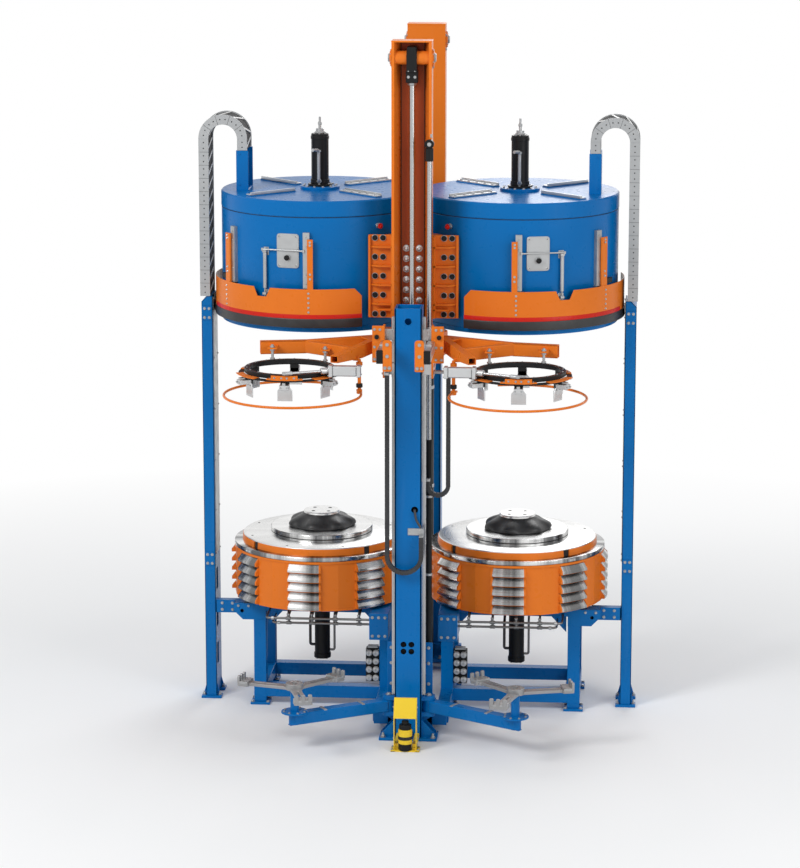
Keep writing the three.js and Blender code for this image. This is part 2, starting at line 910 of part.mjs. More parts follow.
// The lock ring has a row of teeth for every drum row but the lowest.
function lockRing(frontAngle) {
  const topRowZ = drumBottomZ + closingTravel + (toothRows - 1) * toothPitch;
  const toothTop = toothUnderside - lockSeatDrop;
  const ringTopZ = topRowZ + toothTop + lockRingHeadroom;
  const wall = [
    [lockRingRootRadius, lockRingBottomZ],
    [lockRingOuterRadius, lockRingBottomZ],
    [lockRingOuterRadius, ringTopZ],
    [lockRingRootRadius, ringTopZ],
  ];
  const halfPitch = 180 / toothedSegments;
  const shell = turned(wall, facetAngles(frontAngle + halfPitch, lockRingSegmentAngle));
  const root = (lockRingRootRadius + lockRingOuterRadius) / 2;
  const teeth = [];
  for (let segment = 0; segment < toothedSegments; segment += 1) {
    const middle = frontAngle + halfPitch + segment * 2 * halfPitch;
    for (let row = 1; row < toothRows; row += 1) {
      const z = drumBottomZ + closingTravel + row * toothPitch + toothTop;
      const outline = [
        [root, z],
        [lockRingTipRadius, z],
        [lockRingTipRadius, z - lockToothNose],
        [lockToothSlopeRadius, z - lockToothSlopeDrop],
        [root, z - lockToothSlopeDrop],
      ];
      const start = middle - lockRingSegmentAngle / 2;
      teeth.push(sweep(outline, start, start + lockRingSegmentAngle, 2));
    }
  }
  return join(shell, teeth);
}

// The dome is an open shell: an inward lip carries the lock ring, rails guide the guard.
function dome() {
  const shell = revolve([
    [domeLipRadius, domeBottomZ],
    [domeRadius, domeBottomZ],
    [domeRadius, domeSeamZ],
    [domeInnerRadius, domeSeamZ],
    [domeInnerRadius, domeBottomZ + domeLipHeight],
    [domeLipRadius, domeBottomZ + domeLipHeight],
  ], domeSides);
  const seat = domeRadius - domeWall / 2;
  const pad = (angle, half, outer, z0, z1, steps) =>
    arcPiece(seat, outer, z0, z1, angle - half, angle + half, steps);
  const stopTopZ = guardStopBottomZ + guardStopHeight;
  const stopRadius = railOuterRadius - fitGap;
  const fittings = railAngles.map((angle, i) =>
    pad(angle, railHalfAngles[i], railOuterRadius, railBottomZ, railTopZ, 1));
  fittings.push(
    pad(guardStopAngle, guardStopHalfAngle, stopRadius, guardStopBottomZ, stopTopZ, 2),
    pad(hatchAngle, hatchHalfAngle, domeRadius + hatchThickness, hatchBottomZ, hatchTopZ, 2),
  );
  const [cylinderX, cylinderY] = polar(domeRadius + guardCylinderOffset, guardCylinderAngle);
  fittings.push(rod(
    cylinderX,
    cylinderY,
    guardCylinderBottomZ,
    guardCylinderTopZ,
    guardCylinderRadius,
    holeSides,
  ));
  const padWidth = 3 * guardCylinderRadius;
  const padReach = domeRadius + guardCylinderOffset;
  for (const z of [guardCylinderTopZ - padWidth, (guardCylinderBottomZ + guardCylinderTopZ) / 2]) {
    fittings.push(wallBlock(guardCylinderAngle, padWidth, seat, padReach, z, z + padWidth / 2));
  }
  const [knobX, knobY] = polar(domeRadius + hatchThickness + hatchKnobDepth, hatchAngle);
  const [knobSeatX, knobSeatY] = polar(seat, hatchAngle);
  fittings.push(bar(
    [knobSeatX, knobSeatY, hatchKnobZ],
    [knobX, knobY, hatchKnobZ],
    hatchKnobRadius,
    holeSides,
  ));
  const [ventX, ventY] = polar(domeRadius + ventLength, ventAngle);
  const [ventSeatX, ventSeatY] = polar(seat, ventAngle);
  const [capX, capY] = polar(domeRadius + ventLength + ventCapRadius, ventAngle);
  fittings.push(bar([ventSeatX, ventSeatY, ventZ], [ventX, ventY, ventZ], ventRadius, holeSides));
  const [capSeatX, capSeatY] = polar(domeRadius + ventLength - cutOverrun, ventAngle);
  fittings.push(bar([capSeatX, capSeatY, ventZ], [capX, capY, ventZ], ventCapRadius, holeSides));
  return at(cavityX, 0, join(shell, fittings));
}

function lid() {
  const hole = platenRodRadius + runningGap;
  const plate = revolve(
    [
      [0, lidTopZ - lidThickness],
      [lidSkirtInnerRadius, lidTopZ - lidThickness],
      [lidSkirtInnerRadius, domeSeamZ + fitGap],
      [domeRadius, domeSeamZ + fitGap],
      [domeRadius, lidTopZ - lidChamfer],
      [domeRadius - lidChamfer, lidTopZ],
      [0, lidTopZ],
    ],
    domeSides,
  );
  const hub = disc(lidHubRadius, lidTopZ - lidChamfer, lidHubTopZ, discSides);
  const bore = disc(hole, lidTopZ - lidThickness - cutOverrun, lidHubTopZ + cutOverrun, smallSides);
  const body = cut(join(plate, hub), bore);
  const angleBar = join(
    box(
      lidBarInner,
      lidBarOuter,
      -lidBarWidth / 2,
      lidBarWidth / 2,
      lidTopZ - lidBarLip,
      lidTopZ + lidBarLip,
    ),
    box(
      lidBarInner,
      lidBarOuter,
      -lidBarWidth / 2,
      lidBarLip - lidBarWidth / 2,
      lidTopZ - lidBarLip,
      lidTopZ + lidBarHeight,
    ),
  );
  const bars = [45, 135, 225, 315].map((angle) => angleBar.rotate([0, 0, angle]));
  const round = at(cavityX, 0, join(body, bars));
  // A channel, open towards the middle, holds the moving end of the energy chain.
  const outerX = chainArchX - chainRadius + chainLinkHeight / 2 + bracketWall;
  const innerX = chainArchX - chainRadius - chainLinkHeight / 2 - bracketWall;
  const footZ = lidTopZ - lidChamfer;
  const bracket = join(
    box(outerX - bracketWall, outerX, chainFrontY, chainBackY, footZ, bracketTopZ),
    box(innerX, outerX, chainFrontY, chainFrontY + bracketWall, footZ, bracketTopZ),
    box(innerX, outerX, chainBackY - bracketWall, chainBackY, footZ, bracketTopZ),
  );
  return join(round, bracket);
}

function upperPlaten() {
  const plateTopZ = upperPlatenBottomZ + upperPlatenThickness;
  const plate = revolve([
    [0, upperPlatenBottomZ - upperMouldDepth],
    [upperMouldRadius, upperPlatenBottomZ - upperMouldDepth],
    [upperMouldRadius, upperPlatenBottomZ],
    [platenRadius, upperPlatenBottomZ],
    [platenRadius, plateTopZ],
    [0, plateTopZ],
  ]);
  return join(
    plate,
    disc(platenRodRadius, plateTopZ - cutOverrun, platenRodTopZ, smallSides),
    disc(indicatorRadius, platenRodTopZ - cutOverrun, indicatorTopZ, smallSides),
  );
}

function topCylinder() {
  const bore = platenRodRadius + runningGap;
  const neckBore = indicatorRadius + runningGap;
  const boreTopZ = platenRodTopZ + topCylinderFootHeight;
  const outline = [
    [bore, topCylinderBottomZ],
    [topCylinderFootRadius, topCylinderBottomZ],
    [topCylinderFootRadius, topCylinderBottomZ + topCylinderFootHeight],
    [topCylinderRadius, topCylinderBottomZ + topCylinderFootHeight],
    [topCylinderRadius, topCylinderTopZ],
    [topCylinderNeckRadius, topCylinderTopZ],
    [topCylinderNeckRadius, topCylinderTopZ + topCylinderNeckHeight],
    [neckBore, topCylinderTopZ + topCylinderNeckHeight],
    [neckBore, boreTopZ],
    [bore, boreTopZ],
  ];
  const body = revolve(outline, smallSides);
  const seat = (bore + topCylinderRadius) / 2;
  return join(
    body,
    bar([0, -seat, topPipeTopZ], [0, -topPipeReach, topPipeTopZ], topPipeRadius, 6),
    rod(0, -topPipeReach, topPipeBottomZ - topPipeRadius, topPipeTopZ + topPipeRadius, topPipeRadius, 6),
    bar([0, -seat, topPipeBottomZ], [0, -topPipeReach, topPipeBottomZ], topPipeRadius, 6),
  );
}

// The lower platen is clamped by a band, and carries the mould ring with a groove and a raised rim.
function lowerPlaten() {
  const bore = postRadius + runningGap;
  const grooveZ = lowerPlatenTopZ + mouldHeight / 2;
  const platen = revolve([
    [0, platenBaseZ],
    [clampBandRadius, platenBaseZ],
    [clampBandRadius, clampBandTopZ],
    [platenRadius, clampBandTopZ],
    [platenRadius, lowerPlatenTopZ - platenBevel],
    [platenRadius - platenBevel, lowerPlatenTopZ],
    [0, lowerPlatenTopZ],
  ]);
  const mould = revolve(
    [
      [0, lowerPlatenTopZ - platenBevel],
      [mouldRadius, lowerPlatenTopZ - platenBevel],
      [mouldRadius, grooveZ - mouldGrooveHeight],
      [mouldRadius - mouldGroove, grooveZ - mouldGrooveHeight],
      [mouldRadius - mouldGroove, grooveZ + mouldGrooveHeight],
      [mouldRadius, grooveZ + mouldGrooveHeight],
      [mouldRadius, mouldTopZ],
      [mouldRadius - mouldRimWidth, mouldTopZ],
      [mouldRadius - mouldRimWidth, mouldTopZ - mouldRecess],
      [0, mouldTopZ - mouldRecess],
    ],
    discSides,
  );
  return cut(join(platen, mould), disc(bore, platenBaseZ - cutOverrun, mouldTopZ + cutOverrun, smallSides));
}

// The bladder is a fluted rubber bell between the mould ring and the clamp disc of the post.
function bladder() {
  const baseZ = mouldTopZ - mouldRecess + fitGap;
  const topZ = postDiscTopZ - postDiscThickness - fitGap;
  const height = topZ - baseZ;
  const heightShare = [0, 0.14, 0.4, 0.75, 1];
  const radiusShare = [0.94, 1, 0.92, 0.68, 0.53];
  const fluteShare = [0.2, 1, 1.6, 1.2, 0];
  const turns = bladderFlutes * 4;
  const bore = postRadius + runningGap;
  const positions = [];
  const index = [];
  heightShare.forEach((share, level) => {
    for (let step = 0; step < turns; step += 1) {
      const angle = (step / turns) * 2 * Math.PI;
      const flute = 1 + bladderFluteDepth * fluteShare[level] * Math.cos(bladderFlutes * angle);
      const radius = bladderRadius * radiusShare[level] * flute;
      positions.push(radius * Math.cos(angle), radius * Math.sin(angle), baseZ + share * height);
    }
  });
  const levels = heightShare.length;
  const bottom = positions.length / 3;
  positions.push(0, 0, baseZ, 0, 0, topZ);
  for (let step = 0; step < turns; step += 1) {
    const next = (step + 1) % turns;
    for (let level = 0; level + 1 < levels; level += 1) {
      const a = level * turns + step;
      const b = level * turns + next;
      index.push(a, b, b + turns, a, b + turns, a + turns);
    }
    const top = (levels - 1) * turns;
    index.push(bottom, next, step, bottom + 1, top + step, top + next);
  }
  const geometry = new THREE.BufferGeometry();
  geometry.setAttribute('position', new THREE.Float32BufferAttribute(positions, 3));
  geometry.setIndex(index);
  return cut(outward(geometry), disc(bore, baseZ - cutOverrun, topZ + cutOverrun, smallSides));
}

function bladderPost() {
  const discBottomZ = postDiscTopZ - postDiscThickness;
  const body = join(
    disc(postRadius, postBottomZ, postDiscTopZ - postDiscThickness / 2, smallSides),
    revolve([
      [0, discBottomZ],
      [postDiscRadius, discBottomZ],
      [postDiscRadius, postDiscTopZ - postDiscThickness / 3],
      [postDiscRadius - postDiscThickness / 3, postDiscTopZ],
      [0, postDiscTopZ],
    ], discSides),
  );
  const holes = [];
  for (let hole = 0; hole < postHoles; hole += 1) {
    const [x, y] = polar(postHoleCircle, ((hole + 0.5) * 360) / postHoles);
    const floorZ = discBottomZ + postDiscThickness / 2;
    holes.push(rod(x, y, floorZ, postDiscTopZ + cutOverrun, postHoleRadius, holeSides));
  }
  return cut(body, holes);
}

function centreCylinder() {
  const bore = postRadius + runningGap;
  const topZ = platenBaseZ - fitGap;
  const floorZ = postBottomZ - centreFlangeThickness;
  return revolve(
    [
      [0, centreCylinderBottomZ],
      [centreCylinderRadius, centreCylinderBottomZ],
      [centreCylinderRadius, topZ - centreFlangeThickness],
      [centreFlangeRadius, topZ - centreFlangeThickness],
      [centreFlangeRadius, topZ],
      [bore, topZ],
      [bore, floorZ],
      [0, floorZ],
    ],
    smallSides,
  );
}

// The mast is a rolled channel with slanted inner walls. A cross tube at its head takes the lift rod.
function mast() {
  const outline = [
    [-mastHalfWidth, mastFrontY],
    [mastFlange - mastHalfWidth, mastFrontY],
    [-mastWebHalfWidth, mastBackY - mastWeb],
    [mastWebHalfWidth, mastBackY - mastWeb],
    [mastHalfWidth - mastFlange, mastFrontY],
    [mastHalfWidth, mastFrontY],
    [mastHalfWidth, mastBackY],
    [-mastHalfWidth, mastBackY],
  ];
  const channel = slab(outline, mastBottomZ, mastTopZ);
  const head = box(
    -mastHalfWidth,
    mastHalfWidth,
    mastFrontY,
    mastBackY,
    mastTopZ - mastHeadPlate,
    mastTopZ,
  );
  const holes = [];
  for (let row = 0; row < mastHoleRows; row += 1) {
    const z = mastHoleBottomZ + row * mastHolePitch;
    for (const x of [-mastHoleX, mastHoleX]) {
      const start = [x, mastBackY - mastWeb - cutOverrun, z];
      holes.push(bar(start, [x, mastBackY + cutOverrun, z], mastHoleRadius, holeSides));
    }
  }
  const across = (half, radius, sides) =>
    bar([-half, crossTubeY, crossTubeZ], [half, crossTubeY, crossTubeZ], radius, sides);
  const cheeks = [-1, 1].map((side) => {
    const inner = side * (mastHalfWidth - mastFlange / 2);
    const outer = side * (mastHalfWidth + cheekThickness);
    return bar([inner, crossTubeY, crossTubeZ], [outer, crossTubeY, crossTubeZ], cheekRadius, smallSides);
  });
  return join(
    cut(join(channel, head), holes),
    across(crossTubeHalfLength, crossTubeRadius, smallSides),
    across(crossTubeHalfLength + crossNutLength, crossNutRadius, 6),
    cheeks,
  );
}

function liftRod() {
  const strapReach = crossTubeRadius + clevisWall;
  const strap = join(
    box(
      -clevisHalfWidth,
      clevisHalfWidth,
      crossTubeY - strapReach,
      crossTubeY + strapReach,
      clevisShoulderZ,
      clevisTopZ - clevisWall,
    ),
    box(
      -clevisHalfWidth,
      clevisHalfWidth,
      crossTubeY - crossTubeRadius,
      crossTubeY + crossTubeRadius,
      clevisTopZ - 2 * clevisWall,
      clevisTopZ,
    ),
    box(
      -clevisNeckHalfWidth,
      clevisNeckHalfWidth,
      liftY - clevisNeckHalfWidth,
      liftY + clevisNeckHalfWidth,
      clevisBottomZ,
      clevisShoulderZ + clevisWall,
    ),
  );
  const eyeReach = clevisHalfWidth + cutOverrun;
  const eye = bar(
    [-eyeReach, crossTubeY, crossTubeZ],
    [eyeReach, crossTubeY, crossTubeZ],
    crossTubeRadius + fitGap,
  );
  return join(cut(strap, eye), rod(0, liftY, liftRodBottomZ, clevisBottomZ + clevisWall, liftRodRadius));
}

function liftBarrel() {
  const reach = frameInnerX - fitGap;
  const barrel = rod(0, liftY, liftFootBottomZ, liftBarrelTopZ, liftBarrelRadius);
  const foot = box(
    -reach,
    reach,
    liftY - liftFootHalfDepth,
    liftY + liftFootHalfDepth,
    liftFootBottomZ,
    liftFootBottomZ + liftFootThickness,
  );
  const boreBottomZ = liftRodBottomZ - closingTravel - liftFootThickness;
  const bore = rod(0, liftY, boreBottomZ, liftBarrelTopZ + cutOverrun, liftRodRadius + runningGap);
  return cut(join(barrel, foot), bore);
}

function sideLiftRod() {
  const backY = mastFrontY - fitGap;
  const front = [sideLiftX, backY - sideRodEyeDepth, sideRodEyeZ];
  const eye = bar(front, [sideLiftX, backY, sideRodEyeZ], sideRodEyeRadius);
  return join(rod(sideLiftX, sideLiftY, sideRodBottomZ, sideRodEyeZ, sideRodRadius), eye);
}

function sideLiftBarrel() {
  const foot = box(
    sideLiftX - sideBarrelRadius,
    sideLiftX + sideBarrelRadius,
    crossBeamBackY + fitGap,
    sideLiftY + sideBarrelRadius,
    sideBarrelBottomZ,
    sideFootTopZ,
  );
  const barrel = rod(sideLiftX, sideLiftY, sideBarrelBottomZ, sideBarrelTopZ, sideBarrelRadius);
  const boreBottomZ = sideRodBottomZ - closingTravel - runningGap;
  const boreRadius = sideRodRadius + runningGap;
  const bore = rod(sideLiftX, sideLiftY, boreBottomZ, sideBarrelTopZ + cutOverrun, boreRadius);
  return cut(join(foot, barrel), bore);
}

// The saddle is bolted to the mast's web by a block, and its back ribs are cut to the domes' curve.
function saddle() {
  const backY = saddleFrontY + saddleThickness;
  const parts = [
    box(-saddleHalfWidth, saddleHalfWidth, saddleFrontY, backY, saddleBottomZ, saddleTopZ),
    box(-saddleBlockHalfWidth, saddleBlockHalfWidth, mastBackY + fitGap, backY, saddleBottomZ, saddleTopZ),
  ];
  for (let row = 0; row < saddleBoltRows; row += 1) {
    const z = saddleBoltBottomZ + row * saddleBoltPitch;
    for (const side of [-1, 1]) {
      for (const x of saddleBoltX) {
        const start = [side * x, saddleFrontY - saddleBoltHeight, z];
        parts.push(bar(start, [side * x, backY, z], saddleBoltRadius, 6));
      }
    }
    if (row + 1 < saddleBoltRows) {
      const ribZ = z + saddleBoltPitch / 2;
      const ribTop = ribZ + saddleRibThickness;
      parts.push(box(-saddleRibOuter, saddleRibOuter, saddleRibFrontY, backY, ribZ, ribTop));
    }
  }
  for (let rib = 0; rib < saddleBackRibs; rib += 1) {
    const z = saddleBottomZ + ((saddleTopZ - saddleBottomZ) * (rib + 0.5)) / saddleBackRibs;
    parts.push(box(
      -saddleHalfWidth,
      saddleHalfWidth,
      saddleFrontY,
      saddleFrontY + saddleBackDepth,
      z,
      z + saddleThickness,
    ));
  }
  const cutBottomZ = saddleBottomZ - cutOverrun;
  const clearance = disc(domeRadius + fitGap, cutBottomZ, saddleTopZ + cutOverrun, domeSides);
  return cut(join(parts), at(cavityX, 0, clearance), at(-cavityX, 0, clearance));
}

// The column is a box section, open at the top, on an anchored foot with gussets and a cross beam.
function column(isFront) {
  const shaft = box(-columnHalfWidth, columnHalfWidth, columnFrontY, columnBackY, 0, columnTopZ);
  const inside = box(
    columnWall - columnHalfWidth,
    columnHalfWidth - columnWall,
    columnFrontY + columnWall,
    columnBackY - columnWall,
    footThickness,
    columnTopZ + cutOverrun,
  );
  const parts = [
    shaft,
    box(-footHalfWidth, footHalfWidth, footFrontY, footBackY, 0, footThickness),
    box(
      -backPlateHalfWidth,
      backPlateHalfWidth,
      columnBackY,
      columnBackY + backPlateThickness,
      0,
      backPlateTopZ,
    ),
    box(
      -crossBeamHalfWidth,
      crossBeamHalfWidth,
      columnBackY,
      crossBeamBackY,
      crossBeamBottomZ,
      crossBeamTopZ,
    ),
  ];
  for (const side of [-1, 1]) {
    const innerX = side * (columnHalfWidth - columnWall / 2);
    const lugX = side * lugReachX;
    const lugFloor = standArmBottomZ - fitGap - lugThickness;
    const lugFrontY = standPivotY - lugHalfDepth;
    const lugBackY = standPivotY + lugHalfDepth;
    const lugTop = standArmTopZ + fitGap + lugThickness;
    if (isFront) {
      parts.push(
        box(innerX, lugX, lugFrontY, lugBackY, lugFloor, lugFloor + lugThickness),
        box(innerX, lugX, lugFrontY, lugBackY, lugTop - lugThickness, lugTop),
        rod(side * standPivotX, standPivotY, lugFloor, lugTop + standPinRadius, standPinRadius, holeSides),
      );
    }
    const gusset = [
      [side * (columnHalfWidth - columnWall / 2), 0],
      [side * (footHalfWidth - footGussetThickness), 0],
      [side * (footHalfWidth - footGussetThickness), footThickness * 2],
      [side * (columnHalfWidth - columnWall / 2), footGussetHeight],
    ];
    for (const y of [footFrontY + anchorInset * 2, footBackY - anchorInset * 2]) {
      parts.push(frontPrism(side > 0 ? gusset : [...gusset].reverse(), y, y + footGussetThickness));
    }
    for (const y of [footFrontY + anchorInset, footBackY - anchorInset]) {
      parts.push(rod(side * (footHalfWidth - anchorInset), y, 0, anchorHeight, anchorRadius, 6));
    }
  }
  if (isFront) {
    const fixedX = leftCableFixedX;
    const half = cableChainThickness / 2;
    const plateTop = chainPlateBottomZ + chainPlateHeight;
    const plateFrontY = leftCableY - cableChainWidth / 2;
    parts.push(box(
      0,
      fixedX + half,
      columnFrontY - chainPlateThickness,
      columnFrontY + columnWall / 2,
      chainPlateBottomZ,
      plateTop,
    ));
    parts.push(box(
      fixedX - half,
      fixedX + half,
      plateFrontY,
      columnFrontY,
      chainPlateBottomZ,
      chainPlateBottomZ + chainPlateThickness,
    ));
    const innerCableX = rightCableFixedX;
    const endX = innerCableX + half;
    const endZ = rightCableFixedZ + fitGap;
    parts.push(box(
      columnHalfWidth - columnWall / 2,
      endX,
      rightCableY - cableChainWidth / 2,
      rightCableY + cableChainWidth / 2,
      endZ,
      endZ + cableHangerThickness,
    ));
  }
  const through = (x, z, radius) => {
    const start = [x, columnFrontY - cutOverrun, z];
    return bar(start, [x, columnFrontY + columnWall + cutOverrun, z], radius, holeSides);
  };
  const ports = [through(0, columnPortZ, columnPortRadius)];
  if (isFront) {
    ports.push(through(columnSidePortX, columnSidePortZ, columnPortRadius));
    for (const x of columnPairX) {
      for (const z of columnPairZ) {
        ports.push(through(x, z, columnPairRadius));
      }
    }
  }
  return cut(join(parts), inside, ports);
}

function loaderRail() {
  const x0 = columnHalfWidth + fitGap;
  const x1 = x0 + loaderRailDepth;
  const half = loaderRailWidth / 2;
  const waist = half - loaderRailWaist;
  const third = loaderRailDepth / 3;
  const outline = [
    [x0, loaderRailY - half],
    [x0 + third, loaderRailY - half],
    [x0 + third, loaderRailY - waist],
    [x0 + 2 * third, loaderRailY - waist],
    [x0 + 2 * third, loaderRailY - half],
    [x1, loaderRailY - half],
    [x1, loaderRailY + half],
    [x0 + 2 * third, loaderRailY + half],
    [x0 + 2 * third, loaderRailY + waist],
    [x0 + third, loaderRailY + waist],
    [x0 + third, loaderRailY + half],
    [x0, loaderRailY + half],
  ];
  return slab(outline, loaderRailBottomZ, loaderRailTopZ);
}

// The loader carriage: a side plate with shoes on the rail, lugs for the arm's pivot and the swing drive.
function loaderCarriage(isRight) {
  const plateOuterX = carriagePlateX + carriagePlateThickness;
  const side = sidePrism(
    [
      [carriageFrontY, carriageBottomZ],
      [carriageStepY, carriageBottomZ],
      [carriageBackY, armBottomZ - pivotLugThickness * 2],
      [carriageBackY, carriageHubTopZ],
      [carriageStepY, carriageHubTopZ],
      [carriageStepY - shoeHeight, carriageTopZ],
      [carriageFrontY, carriageTopZ],
    ],
    carriagePlateX,
    plateOuterX,
  );
  const parts = [
    side,
    box(
      carriagePlateX,
      carriageFaceOuterX,
      carriageFrontY,
      carriageFrontY + carriageFaceThickness,
      carriageFaceBottomZ,
      carriageTopZ,
    ),
  ];
  const slotHalf = loaderRailWidth / 2 + runningGap;
  const slotX = columnHalfWidth + fitGap + loaderRailDepth + runningGap;
  for (const z of shoeBottomZ) {
    const shoe = box(
      shoeInnerX,
      plateOuterX,
      loaderRailY - shoeHalfWidth,
      loaderRailY + shoeHalfWidth,
      z,
      z + shoeHeight,
    );
    const slot = box(
      shoeInnerX - cutOverrun,
      slotX,
      loaderRailY - slotHalf,
      loaderRailY + slotHalf,
      z - cutOverrun,
      z + shoeHeight + cutOverrun,
    );
    parts.push(cut(shoe, slot));
  }
  const earFrontY = actuatorFrontY - earThickness;
  const hubBottomZ = armBottomZ - pivotHalfGap;
  const hubTopZ = armTopZ + pivotHalfGap;
  const lug = (z0, z1) => join(
    box(carriagePlateX, pivotX, carriageBackY - pivotLugReach, carriageBackY, z0, z1),
    box(pivotLugInnerX, pivotX, carriageBackY - pivotLugReach, pivotY, z0, z1),
    rod(pivotX, pivotY, z0, z1, pivotHubRadius),
  );
  parts.push(
    lug(hubBottomZ - pivotLugThickness, hubBottomZ),
    lug(hubTopZ, hubTopZ + pivotLugThickness),
    rod(pivotX, pivotY, hubBottomZ - pivotLugThickness, hubTopZ + pivotLugThickness, pivotPinRadius),
    rod(
      pivotX,
      pivotY,
      hubTopZ + pivotLugThickness,
      hubTopZ + pivotLugThickness + pivotCapHeight,
      pivotCapRadius,
    ),
    box(
      actuatorInnerX,
      actuatorOuterX,
      actuatorFrontY,
      carriageFrontY + carriageFaceThickness,
      actuatorBottomZ,
      actuatorTopZ,
    ),
    box(earInnerX, earOuterX, earFrontY, actuatorFrontY + earThickness, earBottomZ, earTopZ),
  );
  const earMiddleX = (earInnerX + earOuterX) / 2;
  for (const z of [earBottomZ + 2 * earPinRadius, earTopZ - 3 * earPinRadius]) {
    const head = [earMiddleX, earFrontY - earPinHeight, z];
    parts.push(bar(head, [earMiddleX, earFrontY + earThickness / 2, z], earPinRadius, 6));
  }
  if (isRight) {
    const movingX = rightCableMovingX;
    parts.push(box(
      carriagePlateX,
      movingX + cableChainThickness / 2,
      rightCableY - cableChainWidth / 2,
      rightCableY + cableChainWidth / 2,
      rightCableTopZ + fitGap,
      rightCableTopZ + fitGap + cableHangerThickness,
    ));
  } else {
    const movingX = -leftCableMovingX;
    const half = cableChainThickness / 2;
    const hangerZ = leftCableTopZ + fitGap;
    parts.push(box(
      movingX - half,
      movingX + half,
      leftCableY - cableChainWidth / 2,
      carriageFrontY,
      hangerZ,
      hangerZ + cableHangerThickness,
    ));
    parts.push(box(
      carriagePlateX,
      movingX + half,
      leftCableY - cableChainWidth / 2,
      carriageFrontY + cutOverrun,
      hangerZ,
      hangerZ + 3 * cableHangerThickness,
    ));
  }
  return join(parts);
}

// The loader arm: two square tubes from the hub, a brace between them, and the open hoop on its post.
function loaderArm() {
  const hubPoint = [pivotX, pivotY];
  const frontLength = distance(hubPoint, armFrontEnd);
  const frontTube = beamFrom(hubPoint, armFrontEnd, armTubeWidth, [
    [0, armBottomZ],
    [frontLength / 2, armBottomZ],
    [frontLength, armTopZ - armEndHeight],
    [frontLength, armTopZ],
    [0, armTopZ],
  ]);
  const mouth = (from, to, z0) => {
    const length = distance(from, to);
    return beamFrom(from, to, armTubeWidth - 2 * armWall, [
      [length - armMouthDepth, z0 + armWall],
      [length + cutOverrun, z0 + armWall],
      [length + cutOverrun, armTopZ - armWall],
      [length - armMouthDepth, armTopZ - armWall],
    ]);
  };
  const tubes = join(
    frontTube,
    beam(hubPoint, armKnee, armTubeWidth, armBottomZ, armTopZ),
    beam(armKnee, armOuterEnd, armTubeWidth, armBottomZ, armTopZ),
    rod(...armKnee, armBottomZ, armTopZ, armTubeWidth / 2),
    beam(armBraceStart, armKnee, armTubeWidth, armBottomZ, armTopZ),
    rod(...hubPoint, armBottomZ, armTopZ, pivotHubRadius),
  );
  const parts = [
    cut(
      tubes,
      mouth(hubPoint, armFrontEnd, armTopZ - armEndHeight),
      mouth(armKnee, armOuterEnd, armBottomZ),
    ),
  ];
  for (const [x, y] of hangerRods) {
    parts.push(
      rod(x, y, chuckRingTopZ + fitGap, hangerRodTopZ, hangerRodRadius, holeSides),
      box(
        x - hangerPlateHalf,
        x + hangerPlateHalf,
        y - hangerPlateHalf / 2,
        armKnee[1] - armTubeWidth,
        armTopZ - hangerPlateDrop,
        armTopZ - hangerPlateDrop + hangerPlateThickness,
      ),
    );
  }
  const [postX, postY] = polar(hoopRadius, hoopStartAngle + hoopPostAngle);
  const hoopPost = [hoopX + postX, hoopY + postY];
  const tube = [];
  for (let side = 0; side < 6; side += 1) {
    const [r, z] = polar(hoopTubeRadius, side * 60);
    tube.push([hoopRadius + r, hoopZ + z]);
  }
  const [frontX, frontY] = armFrontEnd;
  const tubeEnd = [
    pivotX + (frontX - pivotX) * hoopBraceShare,
    pivotY + (frontY - pivotY) * hoopBraceShare,
  ];
  parts.push(
    sweep(tube, hoopStartAngle, hoopEndAngle, 22).translate([hoopX, hoopY, 0]),
    rod(...hoopPost, hoopZ, armBottomZ + hangerPlateThickness, hoopPostRadius, holeSides),
    rod(...hoopPost, hoopZ + hoopClampHeight, hoopZ + 2 * hoopClampHeight, hoopClampRadius, holeSides),
    beam(hoopPost, tubeEnd, 2 * hoopPostRadius, armBottomZ, armBottomZ + 3 * hangerPlateThickness),
  );
  const pin = rod(...hubPoint, armBottomZ - cutOverrun, armTopZ + cutOverrun, pivotPinRadius + runningGap);
  return cut(join(parts), pin);
}

